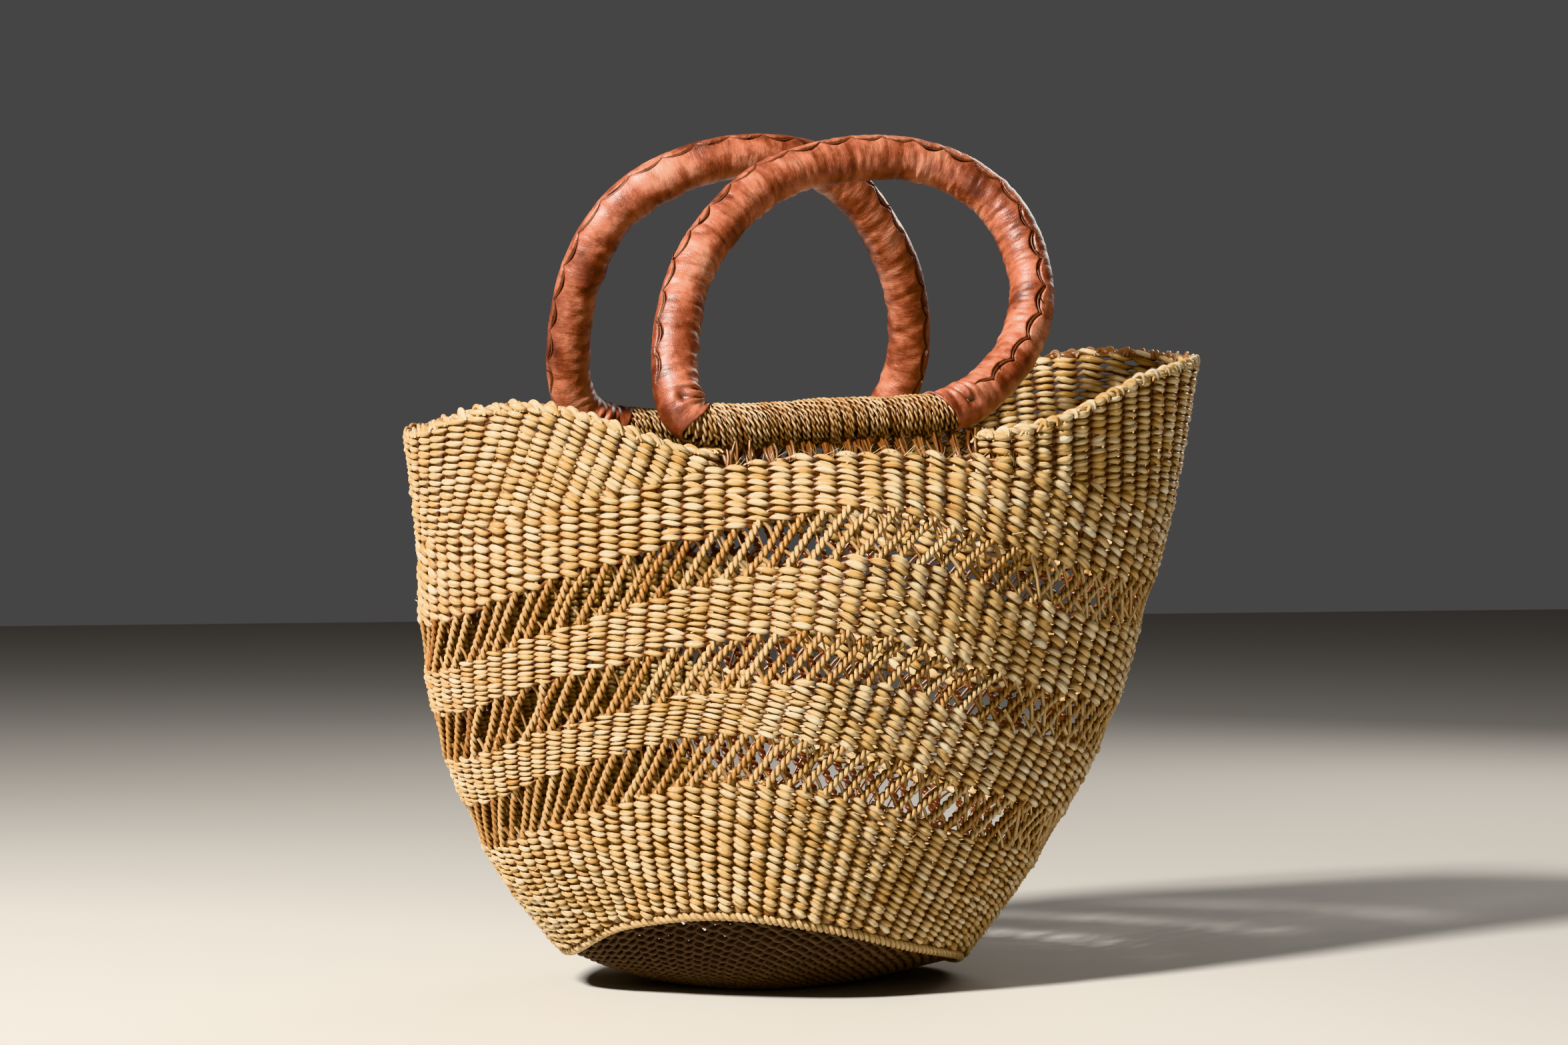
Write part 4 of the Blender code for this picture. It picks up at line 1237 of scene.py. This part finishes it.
def build_wrap(side, seed):
    """Two-ply grass cord wound round the bar, turn beside turn, sagging a little below."""
    path = RingPath(side).path
    left = path[0, 0] - 0.0016
    turns = (path[-1, 0] + 0.0022 - left) / BINDING_PITCH
    t = np.linspace(0, turns, int(turns * BINDING_TURN_POINTS))
    knots = int(turns) + 2
    jitter = per_turn(t, rng.normal(0, 0.20, knots))
    droop = per_turn(t, np.clip(rng.normal(0.0003, 0.0007, knots), 0, 0.0018))
    thick = per_turn(t, 1 + rng.normal(0, 0.13, knots))
    tone = per_turn(t, 0.5 + rng.normal(0, 0.12, knots))
    along = t / turns
    angle = FULL_TURN * t
    slope = 0.0030 * (1 - along) + 0.0002
    x = left + (t + jitter) * BINDING_PITCH + slope * np.cos(angle) + 0.0003 * np.sin(3 * angle + seed)
    low = np.clip(np.cos(angle), 0, None) ** 2
    radius = BINDING_RADIUS + 0.0004 * np.sin(x / 0.011 + seed) + 0.0004 * (thick - 1)
    radius = radius + 0.0002 * np.sin(x / 0.0041 + 2 * seed)
    radius = radius + droop * low + 0.0012 * np.exp(-along / 0.12) * low
    hint = np.stack([0 * x, np.sin(angle), -np.cos(angle)], axis=-1)[None]
    centres = in_plane(x, 0 * x) + radius[:, None] * hint
    item = strand_mesh(
        side + "_binding", placed(side, two_ply(centres, hint, thick, tone), 0.0), CORD_SIDES
    )
    finish_piece(item, "basket", BINDING_STRAW, "binding_straw", side + "_binding_wrap")


def build_binding_end(side, end):
    """Last turns of the binding on the foot of the ring, running in under the leather."""
    ring = RingPath(side)
    turns, slope = (7, 0.0030) if end == "left" else (8, 0.0004)
    t = np.linspace(0, turns, turns * BINDING_TURN_POINTS)
    angle = FULL_TURN * t
    reach = np.clip(0.0004 + t * BINDING_PITCH - slope * np.cos(angle), 0, None)
    centre, outward = ring.at(reach if end == "left" else ring.total - reach)
    out = around_ring(outward, -angle)
    thick = per_turn(t, 1 + rng.normal(0, 0.12, turns + 1))
    tone = per_turn(t, 0.5 + rng.normal(0, 0.12, turns + 1))
    plies = two_ply((centre + 0.0092 * out)[None], out[None], thick, tone)
    item = strand_mesh(side + "_binding_end_" + end, placed(side, plies), CORD_SIDES)
    finish_piece(item, side + "_handle", BINDING_STRAW, "binding_straw")


def stake_tail(bar, column, middle_lean, forward, frayed, local):
    """One stake end: from the top of the weave up to the bar, or a short frayed fibre."""
    turn = np.array([(column + TOP_SHIFT % 1 + local.normal(0, 0.13)) / COLUMNS])
    low = wall.level_length("shoulder", turn) - 0.0016
    foot = wall.at(turn, low, local.normal(0.0002, 0.0006))[0]
    reach = foot[0] - bar[0, 3] + middle_lean + local.normal(0, 0.0007)
    axis_point = bar[:3, 3] + bar[:3, 0] * reach
    target = axis_point + np.array([0, 0.0032 * local.normal(), -0.0085])
    if frayed:
        target = foot + np.array([local.normal(0, 0.0045), 0.003 * forward, 0.0058])
    bow = np.array([local.normal(0, 0.0010), 0.0012 * forward, 0.0])
    along = np.linspace(0, 1, 9)
    path = foot + (target - foot) * along[:, None] + bow * np.sin(math.pi * along)[:, None]
    size = local.uniform(0.00018, 0.0003) if frayed else local.uniform(0.0006, 0.0011)
    radius = (size * (1 - 0.6 * along * frayed))[None]
    hint = np.broadcast_to([0.0, forward, 0.05], path[None].shape)
    tone = local.normal(0.62 if frayed else 0.34, 0.12)
    # Painted shade: stake ends that run up under the binding get a low depth.
    return strands(path[None], hint, radius, tone, 0.95 if frayed else 0.30)


def build_tails(side, seed):
    """Tufts of stake ends between the last row of the weave and the binding."""
    local = np.random.default_rng(seed)
    forward, middle = (-1.0, 0.0) if side == "front" else (1.0, 0.5)
    bar = np.array(hinge_matrix(side, 0.0))
    groups = []
    for column in range(int((middle - 0.085) * COLUMNS), int((middle + 0.085) * COLUMNS)):
        lean = local.normal(0.0012, 0.0014)
        for strand in range(10):
            groups.append(stake_tail(bar, column, lean, forward, strand >= 7, local))
    item = strand_mesh(side + "_stake_ends", groups, TAIL_SIDES)
    finish_piece(item, "basket", CORD_STRAW, "openwork_straw", side + "_stake_tails")


# ---- floor, light and camera -----------------------------------------------------------
LIGHT_TARGET = Vector((0.0, 0.0, 0.2))
# Place, size, power and colour of each lamp.
LAMPS = {
    "key": ((-1.53, -0.73, 1.55), 0.26, 120.0, (1.0, 0.95, 0.87)),
    "fill": ((-0.4, -2.3, 0.8), 1.4, 4.0, (1.0, 0.97, 0.92)),
    "back": ((1.3, 1.0, 1.1), 0.9, 12.0, (1.0, 0.95, 0.88)),
}
CAMERA_YAW = math.radians(20.0)
CAMERA_DISTANCE = 1.69
CAMERA_HEIGHT = 0.24


def build_stage():
    """Plain pale floor."""
    bpy.ops.mesh.primitive_plane_add(size=12, location=(0, 0, 0))
    floor = bpy.context.object
    floor.name = "floor"
    look = Look("pale_floor")
    look.shade(Base_Color=(0.50, 0.485, 0.465), Roughness=0.8)
    floor.data.materials.append(look.material)


def build_light():
    """Dim even sky and three soft lamps."""
    world = bpy.data.worlds.new("studio")
    bpy.context.scene.world = world
    world.use_nodes = True
    background = world.node_tree.nodes["Background"]
    background.inputs["Color"].default_value = (0.84, 0.82, 0.82, 1.0)
    background.inputs["Strength"].default_value = 0.12
    for name, (place, size, power, colour) in LAMPS.items():
        data = bpy.data.lights.new(name, "AREA")
        data.shape = "DISK"
        data.size = size
        data.energy = power
        data.color = colour
        item = bpy.data.objects.new(name, data)
        bpy.context.collection.objects.link(item)
        item.location = place
        item.rotation_euler = (LIGHT_TARGET - Vector(place)).to_track_quat("-Z", "Y").to_euler()


def build_camera():
    """Level camera in front of the basket and a little to its left, as in the photograph."""
    bpy.context.scene.view_settings.view_transform = "Khronos PBR Neutral"
    data = bpy.data.cameras.new("camera")
    data.sensor_width = 36.0
    data.lens = 73.6
    item = bpy.data.objects.new("camera", data)
    bpy.context.collection.objects.link(item)
    back = CAMERA_DISTANCE * np.array([math.sin(CAMERA_YAW), math.cos(CAMERA_YAW)])
    item.location = (*(CENTRE_SHIFT[:2] - back), CAMERA_HEIGHT)
    item.rotation_euler = (math.radians(90.0), 0.0, -CAMERA_YAW)
    bpy.context.scene.camera = item


def main():
    """Build every piece in a fixed order, because all draw from one random sequence."""
    build_base()
    build_bands()
    build_wings()
    for number, side in enumerate(("front", "rear")):
        build_core(side)
        build_leather(side, 3 + number)
        build_lacing(side, 3 + number)
        build_wrap(side, 1.0 + number)
        for end in ("left", "right"):
            build_binding_end(side, end)
        build_tails(side, 20 + number)
    build_stage()
    build_light()
    build_camera()


main()
